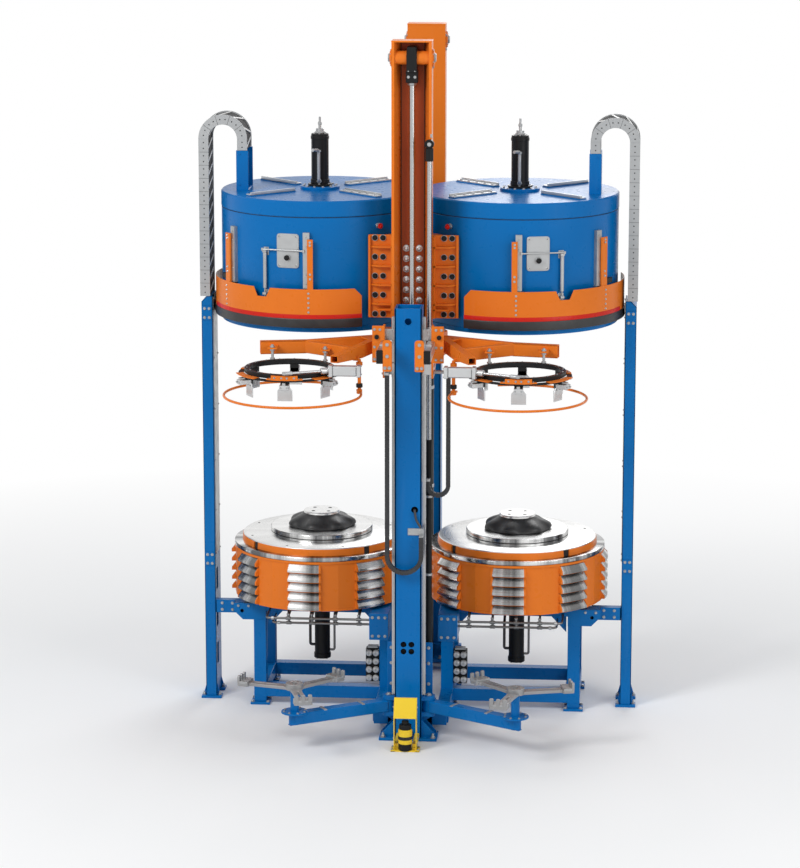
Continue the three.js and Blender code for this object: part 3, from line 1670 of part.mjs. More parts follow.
// The chuck: a fixed ring with hanging paddles, and the cylinder that turns the cam ring under it.
function chuck() {
  const ringBottomZ = chuckRingTopZ - chuckRingThickness;
  const slideTopZ = camRingBottomZ - fitGap;
  const chuckRing = ring(chuckRingRadius, chuckRingInnerRadius, ringBottomZ, chuckRingTopZ, discSides);
  const parts = [at(chuckX, chuckY, chuckRing)];
  for (let paddle = 0; paddle < paddles; paddle += 1) {
    const angle = paddleFirstAngle + (paddle * 360) / paddles;
    const slideBottomZ = slideTopZ - paddleSlideHeight;
    const blade = paddleHangerOuter - paddleBladeThickness;
    const hangerTopZ = ringBottomZ + fitGap;
    const bladeTopZ = slideBottomZ + cutOverrun;
    const width = paddleHangerWidth;
    const hanger = join(
      wallBlock(angle, width, paddleHangerInner, paddleHangerOuter, slideBottomZ, hangerTopZ),
      wallBlock(angle, width, paddleHangerInner, paddleSlideOuter, slideBottomZ, slideTopZ),
      wallBlock(angle, paddleBladeWidth, blade, paddleHangerOuter, paddleBottomZ, bladeTopZ),
    );
    parts.push(at(chuckX, chuckY, hanger));
  }
  const cylinderTopZ = gripCylinderBottomZ + 2 * gripCylinderHalf;
  const [seatX, seatY] = polar((chuckRingRadius + chuckRingInnerRadius) / 2, gripSeatAngle);
  const [rodX, rodY] = gripRodEnd;
  const direction = new THREE.Vector2(rodX - gripCylinderEnd, rodY - gripCylinderY).normalize();
  const rodStart = [gripCylinderEnd - gripCylinderHalf, gripCylinderY, gripRodZ];
  parts.push(
    box(
      gripCylinderStart,
      gripCylinderEnd,
      gripCylinderY - gripCylinderHalf,
      gripCylinderY + gripCylinderHalf,
      gripCylinderBottomZ,
      cylinderTopZ,
    ),
    beam(
      [gripCylinderEnd - gripCylinderHalf, gripCylinderY],
      [chuckX + seatX, chuckY + seatY],
      gripCylinderHalf,
      ringBottomZ + fitGap,
      chuckRingTopZ - fitGap,
    ),
    bar(rodStart, [rodX, rodY, gripRodZ], gripRodRadius, holeSides),
    bar(
      [gripCylinderEnd, gripCylinderY, gripRodZ],
      [
        gripCylinderEnd + direction.x * gripNeckLength,
        gripCylinderY + direction.y * gripNeckLength,
        gripRodZ,
      ],
      gripNeckRadius,
      holeSides,
    ),
  );
  return join(parts);
}

function camRing() {
  const topZ = camRingBottomZ + camRingThickness;
  const parts = [ring(camRingRadius, camRingInnerRadius, camRingBottomZ, topZ, discSides)];
  const inset = camPlateRise / 2;
  for (let plate = 0; plate < camPlates; plate += 1) {
    const middle = camPlateFirstAngle + (plate * 360) / camPlates;
    const start = middle - camPlateAngle / 2;
    parts.push(arcPiece(
      camRingInnerRadius + inset,
      camRingRadius - inset,
      topZ - inset,
      topZ + camPlateRise,
      start,
      start + camPlateAngle,
      2,
    ));
  }
  parts.push(arcPiece(
    camRingRadius - camFaceThickness,
    camRingRadius - inset,
    topZ - inset,
    topZ + camFaceHeight,
    -90 - camFaceAngle,
    camFaceAngle - 90,
    2,
  ));
  return join(parts).translate([chuckX, chuckY, 0]);
}

// The guard: a curved sheet with a notch, the rubber bumper under it and two bars on the dome's rails.
function guard() {
  const sheetInner = guardRadius - guardSheet;
  const steps = 18;
  const span = [guardStartAngle, guardEndAngle];
  const sheet = arcPiece(sheetInner, guardRadius, guardBottomZ, guardTopZ, ...span, steps);
  const bumper = arcPiece(
    bumperInnerRadius,
    bumperRadius,
    bumperBottomZ,
    guardBottomZ + bumperInset,
    guardStartAngle,
    guardEndAngle,
    steps,
  );
  const halfTop = guardNotchTopWidth / 2;
  const halfBottom = guardNotchBottomWidth / 2;
  const notch = sidePrism(
    [
      [-halfBottom, guardNotchZ],
      [halfBottom, guardNotchZ],
      [halfTop, guardTopZ + fitGap],
      [halfTop, guardTopZ + cutOverrun],
      [-halfTop, guardTopZ + cutOverrun],
      [-halfTop, guardTopZ + fitGap],
    ],
    sheetInner - railDepth,
    guardRadius + railDepth,
  ).rotate([0, 0, guardNotchAngle]);
  const barInner = railOuterRadius + guardBarGap;
  const bars = guardBarAngles.map((angle, i) => arcPiece(
    barInner,
    sheetInner + guardSheet / 2,
    guardBottomZ + bumperInset,
    guardBarTopZ,
    angle - guardBarHalfAngles[i],
    angle + guardBarHalfAngles[i],
    1,
  ));
  return at(cavityX, 0, join(cut(join(sheet, bumper), notch), bars));
}

// The points of an energy chain's middle line: up the outer leg, over the arch and down the inner leg.
function chainPath() {
  const archLinks = Math.round((Math.PI * chainRadius) / chainLinkPitch);
  const outerX = chainArchX + chainRadius;
  const startZ = postTopZ + fitGap;
  const legLinks = Math.round((chainArchZ - startZ) / chainLinkPitch);
  const path = [];
  for (let link = 0; link < legLinks; link += 1) {
    path.push({ x: outerX, z: startZ + ((chainArchZ - startZ) * link) / legLinks, angle: 0 });
  }
  for (let link = 0; link <= archLinks; link += 1) {
    const angle = (link / archLinks) * Math.PI;
    path.push({
      x: chainArchX + chainRadius * Math.cos(angle),
      z: chainArchZ + chainRadius * Math.sin(angle),
      angle,
    });
  }
  path.push({ x: chainArchX - chainRadius, z: bracketTopZ + fitGap, angle: Math.PI });
  return path;
}

function energyChain() {
  const path = chainPath();
  const side = (point, offset) => [
    point.x + offset * Math.cos(point.angle),
    point.z + offset * Math.sin(point.angle),
  ];
  const half = chainLinkHeight / 2;
  const outer = [];
  const inner = [];
  const bars = [];
  const barY = [chainFrontY + chainPlate / 2, chainBackY - chainPlate / 2];
  path.forEach((point, i) => {
    outer.push(side(point, half));
    inner.push(side(point, -half));
    const next = path[i + 1];
    if (!next) {
      return;
    }
    if (i % 2) {
      return;
    }
    const middleX = (point.x + next.x) / 2;
    const middleZ = (point.z + next.z) / 2;
    const tilt = (point.angle + next.angle) / 2;
    const halfBar = chainBarHeight / 2;
    const crossBar = box(-chainBarWidth / 2, chainBarWidth / 2, ...barY, -halfBar, halfBar);
    bars.push(crossBar.rotate([0, -tilt / degrees, 0]).translate([middleX, 0, middleZ]));
  });
  const outline = [...outer, ...inner.reverse()];
  const plates = [chainFrontY, chainBackY - chainPlate].map((y) => frontPrism(outline, y, y + chainPlate));
  return join(plates, bars);
}

function post() {
  const outline = [
    [postInnerX, postPlateThickness],
    [postOuterX, postPlateThickness],
    [postOuterX, postTopZ - postChamfer],
    [postOuterX - postChamfer, postTopZ],
    [postInnerX, postTopZ],
  ];
  const hollow = [
    [postInnerX + postWall, -cutOverrun],
    [postOuterX - postWall, -cutOverrun],
    [postOuterX - postWall, postTopZ - postChamfer - postWall],
    [postOuterX - postChamfer - postWall, postTopZ - postWall],
    [postInnerX + postWall, postTopZ - postWall],
  ];
  const plateY = [chainFrontY - postPlateReach / 2, chainBackY + postPlateReach / 2 - postPlateDepth];
  const plateX = [postInnerX - postPlateReach, postOuterX + postPlateReach];
  const plates = plateY.map((y) => box(...plateX, y, y + postPlateDepth, 0, postPlateThickness));
  const slots = [];
  for (let slot = 0; slot < postSlots; slot += 1) {
    const z = postSlotBottomZ + slot * postSlotPitch;
    slots.push(box(
      postInnerX - cutOverrun,
      postInnerX + postWall + cutOverrun,
      chainFrontY + postSlotWidth / 2,
      chainFrontY + (3 * postSlotWidth) / 2,
      z,
      z + postSlotHeight,
    ));
  }
  const shell = frontPrism(outline, chainFrontY, chainBackY);
  const inside = frontPrism(hollow, chainFrontY + postWall, chainBackY - postWall);
  return cut(join(shell, plates), inside, slots);
}

// Rolled sections: H beams for the legs, square tubes for the rings of beams between them.
function standingBeam(x, y, z0, z1) {
  const whole = box(x, x + frameBeam, y, y + frameBeam, z0, z1);
  const pocketDepth = (frameBeam - frameWeb) / 2;
  const pockets = [x - cutOverrun, x + frameBeam - pocketDepth].map((start) => box(
    start,
    start + pocketDepth + cutOverrun,
    y + frameFlange,
    y + frameBeam - frameFlange,
    z0 - cutOverrun,
    z1 + cutOverrun,
  ));
  return cut(whole, pockets);
}

function lyingBeam(x0, x1, y0, y1, z0) {
  return box(x0, x1, y0, y1, z0, z0 + frameBeam);
}

// The base frame carries a drum on four legs, and reaches out to the post and to both columns.
function baseFrame() {
  const legX = [frameInnerX, frameOuterX - frameBeam];
  const legY = [frameFrontY, frameRearY - frameBeam];
  const topBeamZ = baseTopZ - frameBeam;
  const parts = [];
  for (const x of legX) {
    for (const y of legY) {
      parts.push(standingBeam(x, y, framePadThickness, baseTopZ));
      const middleX = x + frameBeam / 2;
      const middleY = y + frameBeam / 2;
      parts.push(box(
        middleX - framePad / 2,
        middleX + framePad / 2,
        middleY - framePad / 2,
        middleY + framePad / 2,
        0,
        framePadThickness,
      ));
    }
    parts.push(
      lyingBeam(x, x + frameBeam, frameFrontY, frameRearY, frameSoleZ),
      lyingBeam(x, x + frameBeam, frameFrontY, frameRearY, topBeamZ),
    );
  }
  for (const y of legY) {
    parts.push(
      lyingBeam(frameInnerX, frameOuterX, y, y + frameBeam, frameSoleZ),
      lyingBeam(frameInnerX, frameOuterX, y, y + frameBeam, topBeamZ),
    );
  }
  const tieEnd = crossBeamBackY + fitGap;
  parts.push(
    lyingBeam(frameInnerX, frameInnerX + frameBeam, tieEnd, frameFrontY + frameFlange, frameSoleZ),
    lyingBeam(frameInnerX, frameInnerX + frameBeam, frameRearY - frameFlange, -tieEnd, frameSoleZ),
  );
  // The outrigger to the post: a box with a chamfered lower corner and a short channel.
  const outriggerStart = frameOuterX - frameBeam;
  parts.push(frontPrism(
    [
      [outriggerStart, outriggerBottomZ],
      [outriggerReachX - outriggerChamfer, outriggerBottomZ],
      [outriggerReachX, outriggerBottomZ + outriggerChamfer],
      [outriggerReachX, outriggerTopZ],
      [outriggerStart, outriggerTopZ],
    ],
    frameFrontY,
    frameFrontY + outriggerDepth,
  ));
  const linkEnd = postInnerX - fitGap;
  const linkStart = outriggerReachX - linkWall;
  const linkBackY = frameFrontY + outriggerDepth;
  const linkBottomZ = outriggerTopZ - linkHeight - linkWall;
  const link = cut(
    box(
      linkStart - linkDepth,
      linkEnd,
      linkBackY - linkWall,
      linkBackY + linkDepth,
      linkBottomZ,
      linkBottomZ + linkHeight,
    ),
    box(
      linkStart - linkDepth + linkWall,
      linkEnd - linkWall,
      linkBackY - linkWall - cutOverrun,
      linkBackY + linkDepth - linkWall,
      linkBottomZ + linkWall,
      linkBottomZ + linkHeight - linkWall,
    ),
  );
  parts.push(link);
  // The shelf between the frame and the mast, with ribs, and the header pipes that start from it.
  const shelfBackY = frameFrontY + frameFlange;
  const rib = shelfRibThickness;
  parts.push(
    box(frameInnerX, shelfOuterX, shelfFrontY, shelfBackY, shelfTopZ - rib, shelfTopZ),
    box(frameInnerX, shelfOuterX, shelfFrontY, shelfFrontY + rib, shelfBottomZ, shelfTopZ),
    box(frameInnerX, frameInnerX + rib, shelfFrontY, shelfBackY, shelfBottomZ, shelfTopZ),
    box(shelfOuterX - rib, shelfOuterX, shelfFrontY, shelfBackY, shelfBottomZ, shelfTopZ),
  );
  headerPipeZ.forEach((z, i) => {
    const y = headerPipeY + i * 3 * headerPipeRadius;
    const endX = headerPipeEndX[i];
    parts.push(
      bar([shelfOuterX - shelfRibThickness, y, z], [endX, y, z], headerPipeRadius, 6),
      rod(endX, y, z - headerPipeRadius, z + headerPipeRadius, headerPipeRadius, 6),
      bar([endX, y, z], [endX, frameFrontY + frameFlange, z], headerPipeRadius, 6),
    );
  });
  return join(parts);
}

function manifoldBlock() {
  const innerX = frameInnerX + frameBeam + fitGap;
  const frontY = frameFrontY + frameFlange;
  const parts = [box(innerX, manifoldOuterX, frontY, frontY + manifoldDepth, manifoldBottomZ, manifoldTopZ)];
  const portPitch = (manifoldTopZ - manifoldBottomZ) / manifoldPorts;
  const columnPitch = (manifoldOuterX - innerX) / 2;
  for (let row = 0; row < manifoldPorts; row += 1) {
    for (let place = 0; place < 2; place += 1) {
      const x = innerX + columnPitch * (place + 0.5);
      const z = manifoldBottomZ + portPitch * (row + 0.5);
      const seatY = frontY + manifoldPortLength;
      parts.push(bar([x, frontY - manifoldPortLength, z], [x, seatY, z], manifoldPortRadius, 6));
    }
  }
  return join(parts);
}

function standArm() {
  const pivot = [standPivotX, standPivotY];
  const end = [standEndX, standEndY];
  const body = join(
    rod(...pivot, standArmBottomZ, standArmTopZ, standHubRadius),
    beam(pivot, end, standArmWidth, standArmBottomZ, standArmTopZ),
    rod(...end, standArmBottomZ, standArmTopZ, standArmWidth / 2),
    rod(...end, standArmTopZ, standArmTopZ + standFlangeThickness, standFlangeRadius),
    rod(...end, standArmBottomZ, standPostTopZ, standPostRadius),
    rod(...end, standArmTopZ, trayBottomZ - fitGap, standPostRadius + standFlangeThickness),
  );
  const boreRadius = standPinRadius + runningGap;
  const bore = rod(...pivot, standArmBottomZ - cutOverrun, standArmTopZ + cutOverrun, boreRadius);
  return cut(body, bore);
}

// The tray turns on the arm's post: a hub with three flat arms, each ending in an upturned fork.
function tray() {
  const topZ = trayBottomZ + trayArmThickness;
  const parts = [disc(trayHubRadius, trayBottomZ, trayBottomZ + trayHubHeight, smallSides)];
  for (const angle of trayTurns) {
    const arm = join(
      box(0, trayReach, -trayArmWidth / 2, trayArmWidth / 2, trayBottomZ, topZ),
      box(
        trayReach - trayForkDepth,
        trayReach,
        -trayArmWidth,
        trayArmWidth,
        topZ - fitGap,
        topZ + trayArmThickness,
      ),
      box(
        trayReach - trayArmThickness,
        trayReach,
        -trayArmWidth,
        trayArmWidth,
        topZ - fitGap,
        trayBottomZ + trayForkHeight,
      ),
    );
    parts.push(arm.rotate([0, 0, angle]));
  }
  const boreTopZ = trayBottomZ + trayHubHeight + cutOverrun;
  const bore = disc(standPostRadius + 2 * runningGap, trayBottomZ - cutOverrun, boreTopZ, smallSides);
  return at(standEndX, standEndY, cut(join(parts), bore));
}

function scannerGuard() {
  const baseFrontY = hoodFrontY + hoodSheet;
  const scannerY = (hoodBackY + hoodFrontY) / 2;
  const hood = sidePrism(
    [
      [hoodBackY, hoodTopZ],
      [hoodFrontY, hoodLowZ],
      [hoodFrontY + hoodSheet, hoodLowZ],
      [hoodBackY + hoodSheet, hoodTopZ - hoodSheet],
      [hoodBackY + 3 * hoodSheet, hoodTopZ - hoodSheet],
      [hoodBackY + 3 * hoodSheet, hoodTopZ],
    ],
    -hoodHalfWidth,
    hoodHalfWidth,
  );
  const parts = [
    hood,
    box(
      -scannerBaseHalfWidth,
      scannerBaseHalfWidth,
      baseFrontY,
      baseFrontY + scannerBaseDepth,
      0,
      scannerBaseThickness,
    ),
    rod(0, scannerY, scannerBaseThickness / 2, scannerTopZ, scannerRadius),
    rod(0, scannerY, scannerTopZ - cutOverrun, scannerTopZ + scannerTieHeight, scannerRadius / 2),
  ];
  for (const side of [-1, 1]) {
    const outerX = side * hoodHalfWidth;
    const innerX = side * (hoodHalfWidth - hoodSheet);
    parts.push(
      sidePrism(
        [
          [hoodFrontY + 2 * hoodSheet, hoodLowZ],
          [baseFrontY + 2 * hoodSheet, 0],
          [hoodBackY + 2 * hoodSheet, 0],
          [hoodBackY + 2 * hoodSheet, hoodTopZ - hoodSheet / 2],
          [hoodBackY, hoodTopZ - hoodSheet / 2],
        ],
        Math.min(innerX, outerX),
        Math.max(innerX, outerX),
      ),
      box(
        outerX,
        side * (hoodHalfWidth - scannerTieWidth),
        scannerY,
        columnFrontY - fitGap,
        scannerTieZ,
        scannerTieZ + scannerTieHeight,
      ),
      box(
        outerX,
        side * (hoodHalfWidth - scannerTieWidth),
        scannerY,
        hoodBackY + scannerTieWidth,
        0,
        scannerTieZ + cutOverrun,
      ),
    );
  }
  return join(parts);
}

// A cable chain hangs as a U from the carriage and rises to its fixed end.
function cableChain(movingX, fixedX, y, movingTopZ, fixedTopZ, bottomZ) {
  const radius = Math.abs(movingX - fixedX) / 2;
  const middleX = (movingX + fixedX) / 2;
  const half = cableChainThickness / 2;
  const centreZ = bottomZ + radius + half;
  const sign = Math.sign(movingX - fixedX);
  const arc = (r) => {
    const points = [];
    for (let step = 0; step <= cableChainSteps; step += 1) {
      const angle = (step / cableChainSteps) * Math.PI;
      points.push([middleX + sign * r * Math.cos(angle), centreZ - r * Math.sin(angle)]);
    }
    return points;
  };
  const outline = [
    [movingX + sign * half, movingTopZ],
    ...arc(radius + half),
    [fixedX - sign * half, fixedTopZ],
    [fixedX + sign * half, fixedTopZ],
    ...arc(radius - half).reverse(),
    [movingX - sign * half, movingTopZ],
  ];
  const shape = shapeOf(THREE.ShapeUtils.isClockWise(outline.map(([x, z]) => new THREE.Vector2(x, z)))
    ? [...outline].reverse()
    : outline);
  const geometry = new THREE.ExtrudeGeometry(shape, { depth: cableChainWidth, bevelEnabled: false });
  geometry.rotateX(Math.PI / 2);
  geometry.translate(0, y + cableChainWidth / 2, 0);
  return solid(geometry);
}

// Press frame
addMesh('front_column', column(true), materials.blue);
addMesh('rear_column', column(false), materials.blue).scale.y = -1;
addPair('loader_rail', loaderRail(), materials.steel);
addPair('base_frame', baseFrame(), materials.blue);
addPair('manifold', manifoldBlock(), materials.steel);
addPair('post', post(), materials.blue);
addFrontAndRear('lift_barrel', liftBarrel(), materials.black);
addMesh('side_lift_barrel', sideLiftBarrel(), materials.black);
addMesh('scanner_guard', scannerGuard(), materials.yellow);

// Lower half of each cavity
addMesh('left_lock_drum', at(-cavityX, 0, lockDrum(drumLeftAngle)), materials.orange);
addMesh('right_lock_drum', at(cavityX, 0, lockDrum(drumRightAngle)), materials.orange);
addPair('lower_platen', at(cavityX, 0, lowerPlaten()), materials.steel);
addPair('bladder', at(cavityX, 0, bladder()), materials.rubber);
addPair('bladder_post', at(cavityX, 0, bladderPost()), materials.steel);
addPair('centre_cylinder', at(cavityX, 0, centreCylinder()), materials.black);

// Dome carriage
addFrontAndRear('mast', mast(), materials.orange);
addFrontAndRear('lift_rod', liftRod(), materials.chrome);
addMesh('side_lift_rod', sideLiftRod(), materials.chrome);
addFrontAndRear('saddle', saddle(), materials.orange);
addPair('dome', dome(), materials.blue);
addPair('lid', lid(), materials.blue);
addMesh('left_top_cylinder', at(-cavityX, 0, topCylinder()), materials.black);
addMesh('right_top_cylinder', at(cavityX, 0, topCylinder()), materials.black);
addMesh('left_lock_ring', at(-cavityX, 0, lockRing(drumLeftAngle)), materials.steel);
addMesh('right_lock_ring', at(cavityX, 0, lockRing(drumRightAngle)), materials.steel);
addPair('upper_platen', at(cavityX, 0, upperPlaten()), materials.steel);
addPair('guard', guard(), materials.orange);
addPair('energy_chain', energyChain(), materials.galvanised);

// Loaders and stands
addMesh('right_loader_carriage', loaderCarriage(true), materials.orange);
addMesh('left_loader_carriage', loaderCarriage(false), materials.orange).scale.x = -1;
addPair('loader_arm', loaderArm(), materials.orange);
addPair('chuck', chuck(), materials.black);
addPair('cam_ring', camRing(), materials.black);
addPair('stand_arm', standArm(), materials.blue);
addPair('tray', tray(), materials.aluminium);
addMesh(
  'left_e_chain',
  cableChain(
    leftCableMovingX,
    leftCableFixedX,
    leftCableY,
    leftCableTopZ,
    chainPlateBottomZ - fitGap,
    leftCableBottomZ,
  ),
  materials.rubber,
);
addMesh(
  'right_e_chain',
  cableChain(
    rightCableMovingX,
    rightCableFixedX,
    rightCableY,
    rightCableTopZ,
    rightCableFixedZ,
    rightCableBottomZ,
  ),
  materials.rubber,
);

// The front of the footprint is the chucks' hoops, and the rear is the rear column's foot.
const frontReach = hoopRadius + hoopTubeRadius - hoopY;
const rearReach = -footFrontY;
press.position.y = (frontReach - rearReach) / 2;
press.updateMatrixWorld(true);

export default press;
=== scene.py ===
"""Looks of the dual-cavity tire curing press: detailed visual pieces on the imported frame.

Pieces are written in millimetres in the press frame (cavities left and right of x = 0, floor at
z = 0, cavities on y = 0) and mirrored to the left where they come in pairs.
"""
import itertools
import json
import math

import bmesh
import bpy
from mathutils import Matrix, Vector, geometry

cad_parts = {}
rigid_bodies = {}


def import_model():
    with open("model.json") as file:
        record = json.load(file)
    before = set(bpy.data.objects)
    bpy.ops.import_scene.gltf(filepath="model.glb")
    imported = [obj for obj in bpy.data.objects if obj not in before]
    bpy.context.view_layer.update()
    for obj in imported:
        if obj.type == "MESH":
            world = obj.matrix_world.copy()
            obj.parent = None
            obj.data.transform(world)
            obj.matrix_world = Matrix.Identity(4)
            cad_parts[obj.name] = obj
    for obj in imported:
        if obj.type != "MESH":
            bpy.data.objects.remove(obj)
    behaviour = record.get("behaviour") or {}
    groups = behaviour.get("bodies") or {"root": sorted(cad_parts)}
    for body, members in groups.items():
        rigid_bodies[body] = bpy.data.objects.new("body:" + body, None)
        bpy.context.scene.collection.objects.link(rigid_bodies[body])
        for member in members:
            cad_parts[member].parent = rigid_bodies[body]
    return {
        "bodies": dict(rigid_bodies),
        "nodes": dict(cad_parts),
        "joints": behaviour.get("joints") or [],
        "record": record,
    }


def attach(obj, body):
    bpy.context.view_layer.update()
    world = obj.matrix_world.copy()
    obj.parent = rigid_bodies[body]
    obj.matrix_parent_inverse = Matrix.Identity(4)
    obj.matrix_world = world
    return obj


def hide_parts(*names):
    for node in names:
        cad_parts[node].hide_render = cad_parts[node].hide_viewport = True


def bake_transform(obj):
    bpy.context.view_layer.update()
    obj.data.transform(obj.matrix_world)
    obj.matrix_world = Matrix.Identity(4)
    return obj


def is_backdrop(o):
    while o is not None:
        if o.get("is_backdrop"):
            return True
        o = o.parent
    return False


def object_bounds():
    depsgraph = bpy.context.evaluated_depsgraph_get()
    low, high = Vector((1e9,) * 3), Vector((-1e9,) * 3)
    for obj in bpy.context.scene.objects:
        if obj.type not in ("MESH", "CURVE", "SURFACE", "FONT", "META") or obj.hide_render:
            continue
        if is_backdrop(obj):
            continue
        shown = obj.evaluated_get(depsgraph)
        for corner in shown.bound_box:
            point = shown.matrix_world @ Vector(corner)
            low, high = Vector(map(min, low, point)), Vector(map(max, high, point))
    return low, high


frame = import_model()
cad_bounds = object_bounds()

TAU = math.tau
# Millimetres; angles in degrees
SHIFT = 395.25  # from the press frame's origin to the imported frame's, along y
CAVITY = 760  # a cavity's axis from the middle
DRUM_BOTTOM = 845
DRUM_HEIGHT = 366
STACKS = 8
STACK_STEP = 360 / STACKS
TOOTH_ROWS = 5
TOOTH_PITCH = 73.2
CLOSING_TRAVEL = 2160  # from the shown height down to the closed press
SEAT_RISE = 9  # top of a ring tooth above the foot of its row on the drum, when closed
DRUM_TURNS = {"left": -96.2, "right": -93.2}  # the stack that faces the front
CHAIN_FRONT, CHAIN_BACK = -185, 100  # the energy chain's and the post's width along y
LIFT_Y = -800  # a lift cylinder's axis
HEAD_Y, HEAD_Z = -790, 5063  # the cross tube in a mast's head
SIDE_LIFT = (133, -880)
PIVOT = (222.0, -771.566)  # a loader arm's hinge
CHUCK = (835.0, -1485.0)  # a chuck ring's axis
STAND = (816, -1489)  # a tray's axis
# Metres and radians
CAMERA_AT = (1.7413, -24.2707 + SHIFT / 1000, 7.2113)
CAMERA_YAW, CAMERA_PITCH = 0.0778, 0.2072
FLOOR_NEAR, FLOOR_FAR = 3.5, 9.0  # where the floor starts and ends its fade to white


# ---------------------------------------------------------------- materials
def new_material(name):
    mat = bpy.data.materials.new(name)
    mat.use_nodes = True
    nt = mat.node_tree
    nt.nodes.clear()
    out = nt.nodes.new("ShaderNodeOutputMaterial")
    shader = nt.nodes.new("ShaderNodeBsdfPrincipled")
    nt.links.new(shader.outputs["BSDF"], out.inputs["Surface"])
    coords = nt.nodes.new("ShaderNodeTexCoord")
    return mat, nt, shader, coords


def calc(nt, operation, *values, kind="ShaderNodeMath", out=0):
    """A calculation node; each value is a number or the socket that feeds it."""
    node = nt.nodes.new(kind)
    node.operation = operation
    for socket, value in zip(node.inputs, values):
        if isinstance(value, float):
            socket.default_value = value
        else:
            nt.links.new(value, socket)
    return node.outputs[out]


def put(node, **values):
    """Set sockets by name, with _ for each space of the name."""
    for key, value in values.items():
        node.inputs[key.replace("_", " ")].default_value = value


def mapping(nt, coords, scale):
    node = nt.nodes.new("ShaderNodeMapping")
    node.inputs["Scale"].default_value = scale
    nt.links.new(coords.outputs["Object"], node.inputs["Vector"])
    return node.outputs["Vector"]


def noise(nt, vector, scale, detail=4.0, rough=0.55):
    node = nt.nodes.new("ShaderNodeTexNoise")
    put(node, Scale=scale, Detail=detail, Roughness=rough)
    nt.links.new(vector, node.inputs["Vector"])
    return node.outputs["Fac"]


def ramp(nt, value, low, high, a, b):
    node = nt.nodes.new("ShaderNodeMapRange")
    put(node, From_Min=low, From_Max=high, To_Min=a, To_Max=b)
    nt.links.new(value, node.inputs["Value"])
    return node.outputs["Result"]


def mix(nt, fac, a, b):
    node = nt.nodes.new("ShaderNodeMix")
    node.data_type = "RGBA"
    for socket, value in ((node.inputs[6], a), (node.inputs[7], b)):
        if isinstance(value, tuple):
            socket.default_value = (*value, 1)
        else:
            nt.links.new(value, socket)
    if isinstance(fac, float):
        node.inputs[0].default_value = fac
    else:
        nt.links.new(fac, node.inputs[0])
    return node.outputs[2]


def bump(nt, shader, height, strength, distance=0.001):
    node = nt.nodes.new("ShaderNodeBump")
    put(node, Strength=strength, Distance=distance)
    nt.links.new(height, node.inputs["Height"])
    nt.links.new(node.outputs["Normal"], shader.inputs["Normal"])


def paint(name, color, dark, rough=0.3, coat=0.04, dust=0.02):
    mat, nt, shader, coords = new_material(name)
    vector = mapping(nt, coords, (1, 1, 1))
    broad = noise(nt, vector, 1.6, 3)
    fine = noise(nt, vector, 18, 2)
    streak = noise(nt, mapping(nt, coords, (7, 7, 0.6)), 2.4, 3)
    tone = mix(nt, ramp(nt, broad, 0.35, 0.75, 0.0, 0.5), color, dark)
    tone = mix(nt, ramp(nt, streak, 0.6, 0.85, 0.0, dust), tone, (0.55, 0.54, 0.5))
    nt.links.new(tone, shader.inputs["Base Color"])
    nt.links.new(ramp(nt, fine, 0.3, 0.75, rough - 0.04, rough + 0.06), shader.inputs["Roughness"])
    put(shader, Specular_IOR_Level=0.14, Coat_Weight=coat, Coat_Roughness=0.12)
    bump(nt, shader, noise(nt, vector, 140, 2), 0.03)
    return mat


def metal(name, color, rough, metallic=1.0, grain=(1, 1, 1), grain_scale=180, spread=0.12, dirt=0.15):
    mat, nt, shader, coords = new_material(name)
    vector = mapping(nt, coords, grain)
    lines = noise(nt, vector, grain_scale, 4, 0.6)
    broad = noise(nt, mapping(nt, coords, (1, 1, 1)), 4.0, 5)
    darker = tuple(c * 0.72 for c in color)
    tone = mix(nt, ramp(nt, broad, 0.42, 0.8, 0.0, dirt * 3), color, darker)
    nt.links.new(tone, shader.inputs["Base Color"])
    shader.inputs["Metallic"].default_value = metallic
    nt.links.new(ramp(nt, lines, 0.3, 0.72, rough - spread / 2, rough + spread), shader.inputs["Roughness"])
    bump(nt, shader, lines, 0.08)
    return mat


def turned_steel(name, rough, dark=(0.5, 0.48, 0.45), reflection_share=0.35):
    """Turned steel: fine rings, with painted reflections as light and dark sectors about each cavity's axis.
    """
    mat, nt, shader, coords = new_material(name)
    split = nt.nodes.new("ShaderNodeSeparateXYZ")
    nt.links.new(coords.outputs["Object"], split.inputs[0])
    across = calc(nt, "ABSOLUTE", split.outputs[0])
    join = nt.nodes.new("ShaderNodeCombineXYZ")
    for index, (source, offset) in enumerate(((across, -CAVITY / 1000), (split.outputs[1], -SHIFT / 1000))):
        nt.links.new(calc(nt, "ADD", source, offset), join.inputs[index])
    length = calc(nt, "LENGTH", join.outputs[0], kind="ShaderNodeVectorMath", out="Value")
    flat = nt.nodes.new("ShaderNodeCombineXYZ")
    nt.links.new(length, flat.inputs[0])
    nt.links.new(split.outputs[2], flat.inputs[2])
    rings = noise(nt, flat.outputs[0], 260, 3, 0.7)
    # Light and dark sectors by direction about the axis: painted reflection
    way = calc(nt, "NORMALIZE", join.outputs[0], kind="ShaderNodeVectorMath")
    reflection_fan = noise(nt, way, 3.4, 5, 0.62)
    tone = mix(nt, ramp(nt, rings, 0.35, 0.7, 0.0, 0.4), (0.8, 0.8, 0.79), (0.64, 0.64, 0.64))
    tone = mix(nt, ramp(nt, reflection_fan, 0.42, 0.62, 0.0, reflection_share), tone, dark)
    nt.links.new(tone, shader.inputs["Base Color"])
    shader.inputs["Metallic"].default_value = 1
    nt.links.new(ramp(nt, rings, 0.3, 0.7, rough - 0.05, rough + 0.12), shader.inputs["Roughness"])
    bump(nt, shader, rings, 0.25, 0.0008)
    return mat


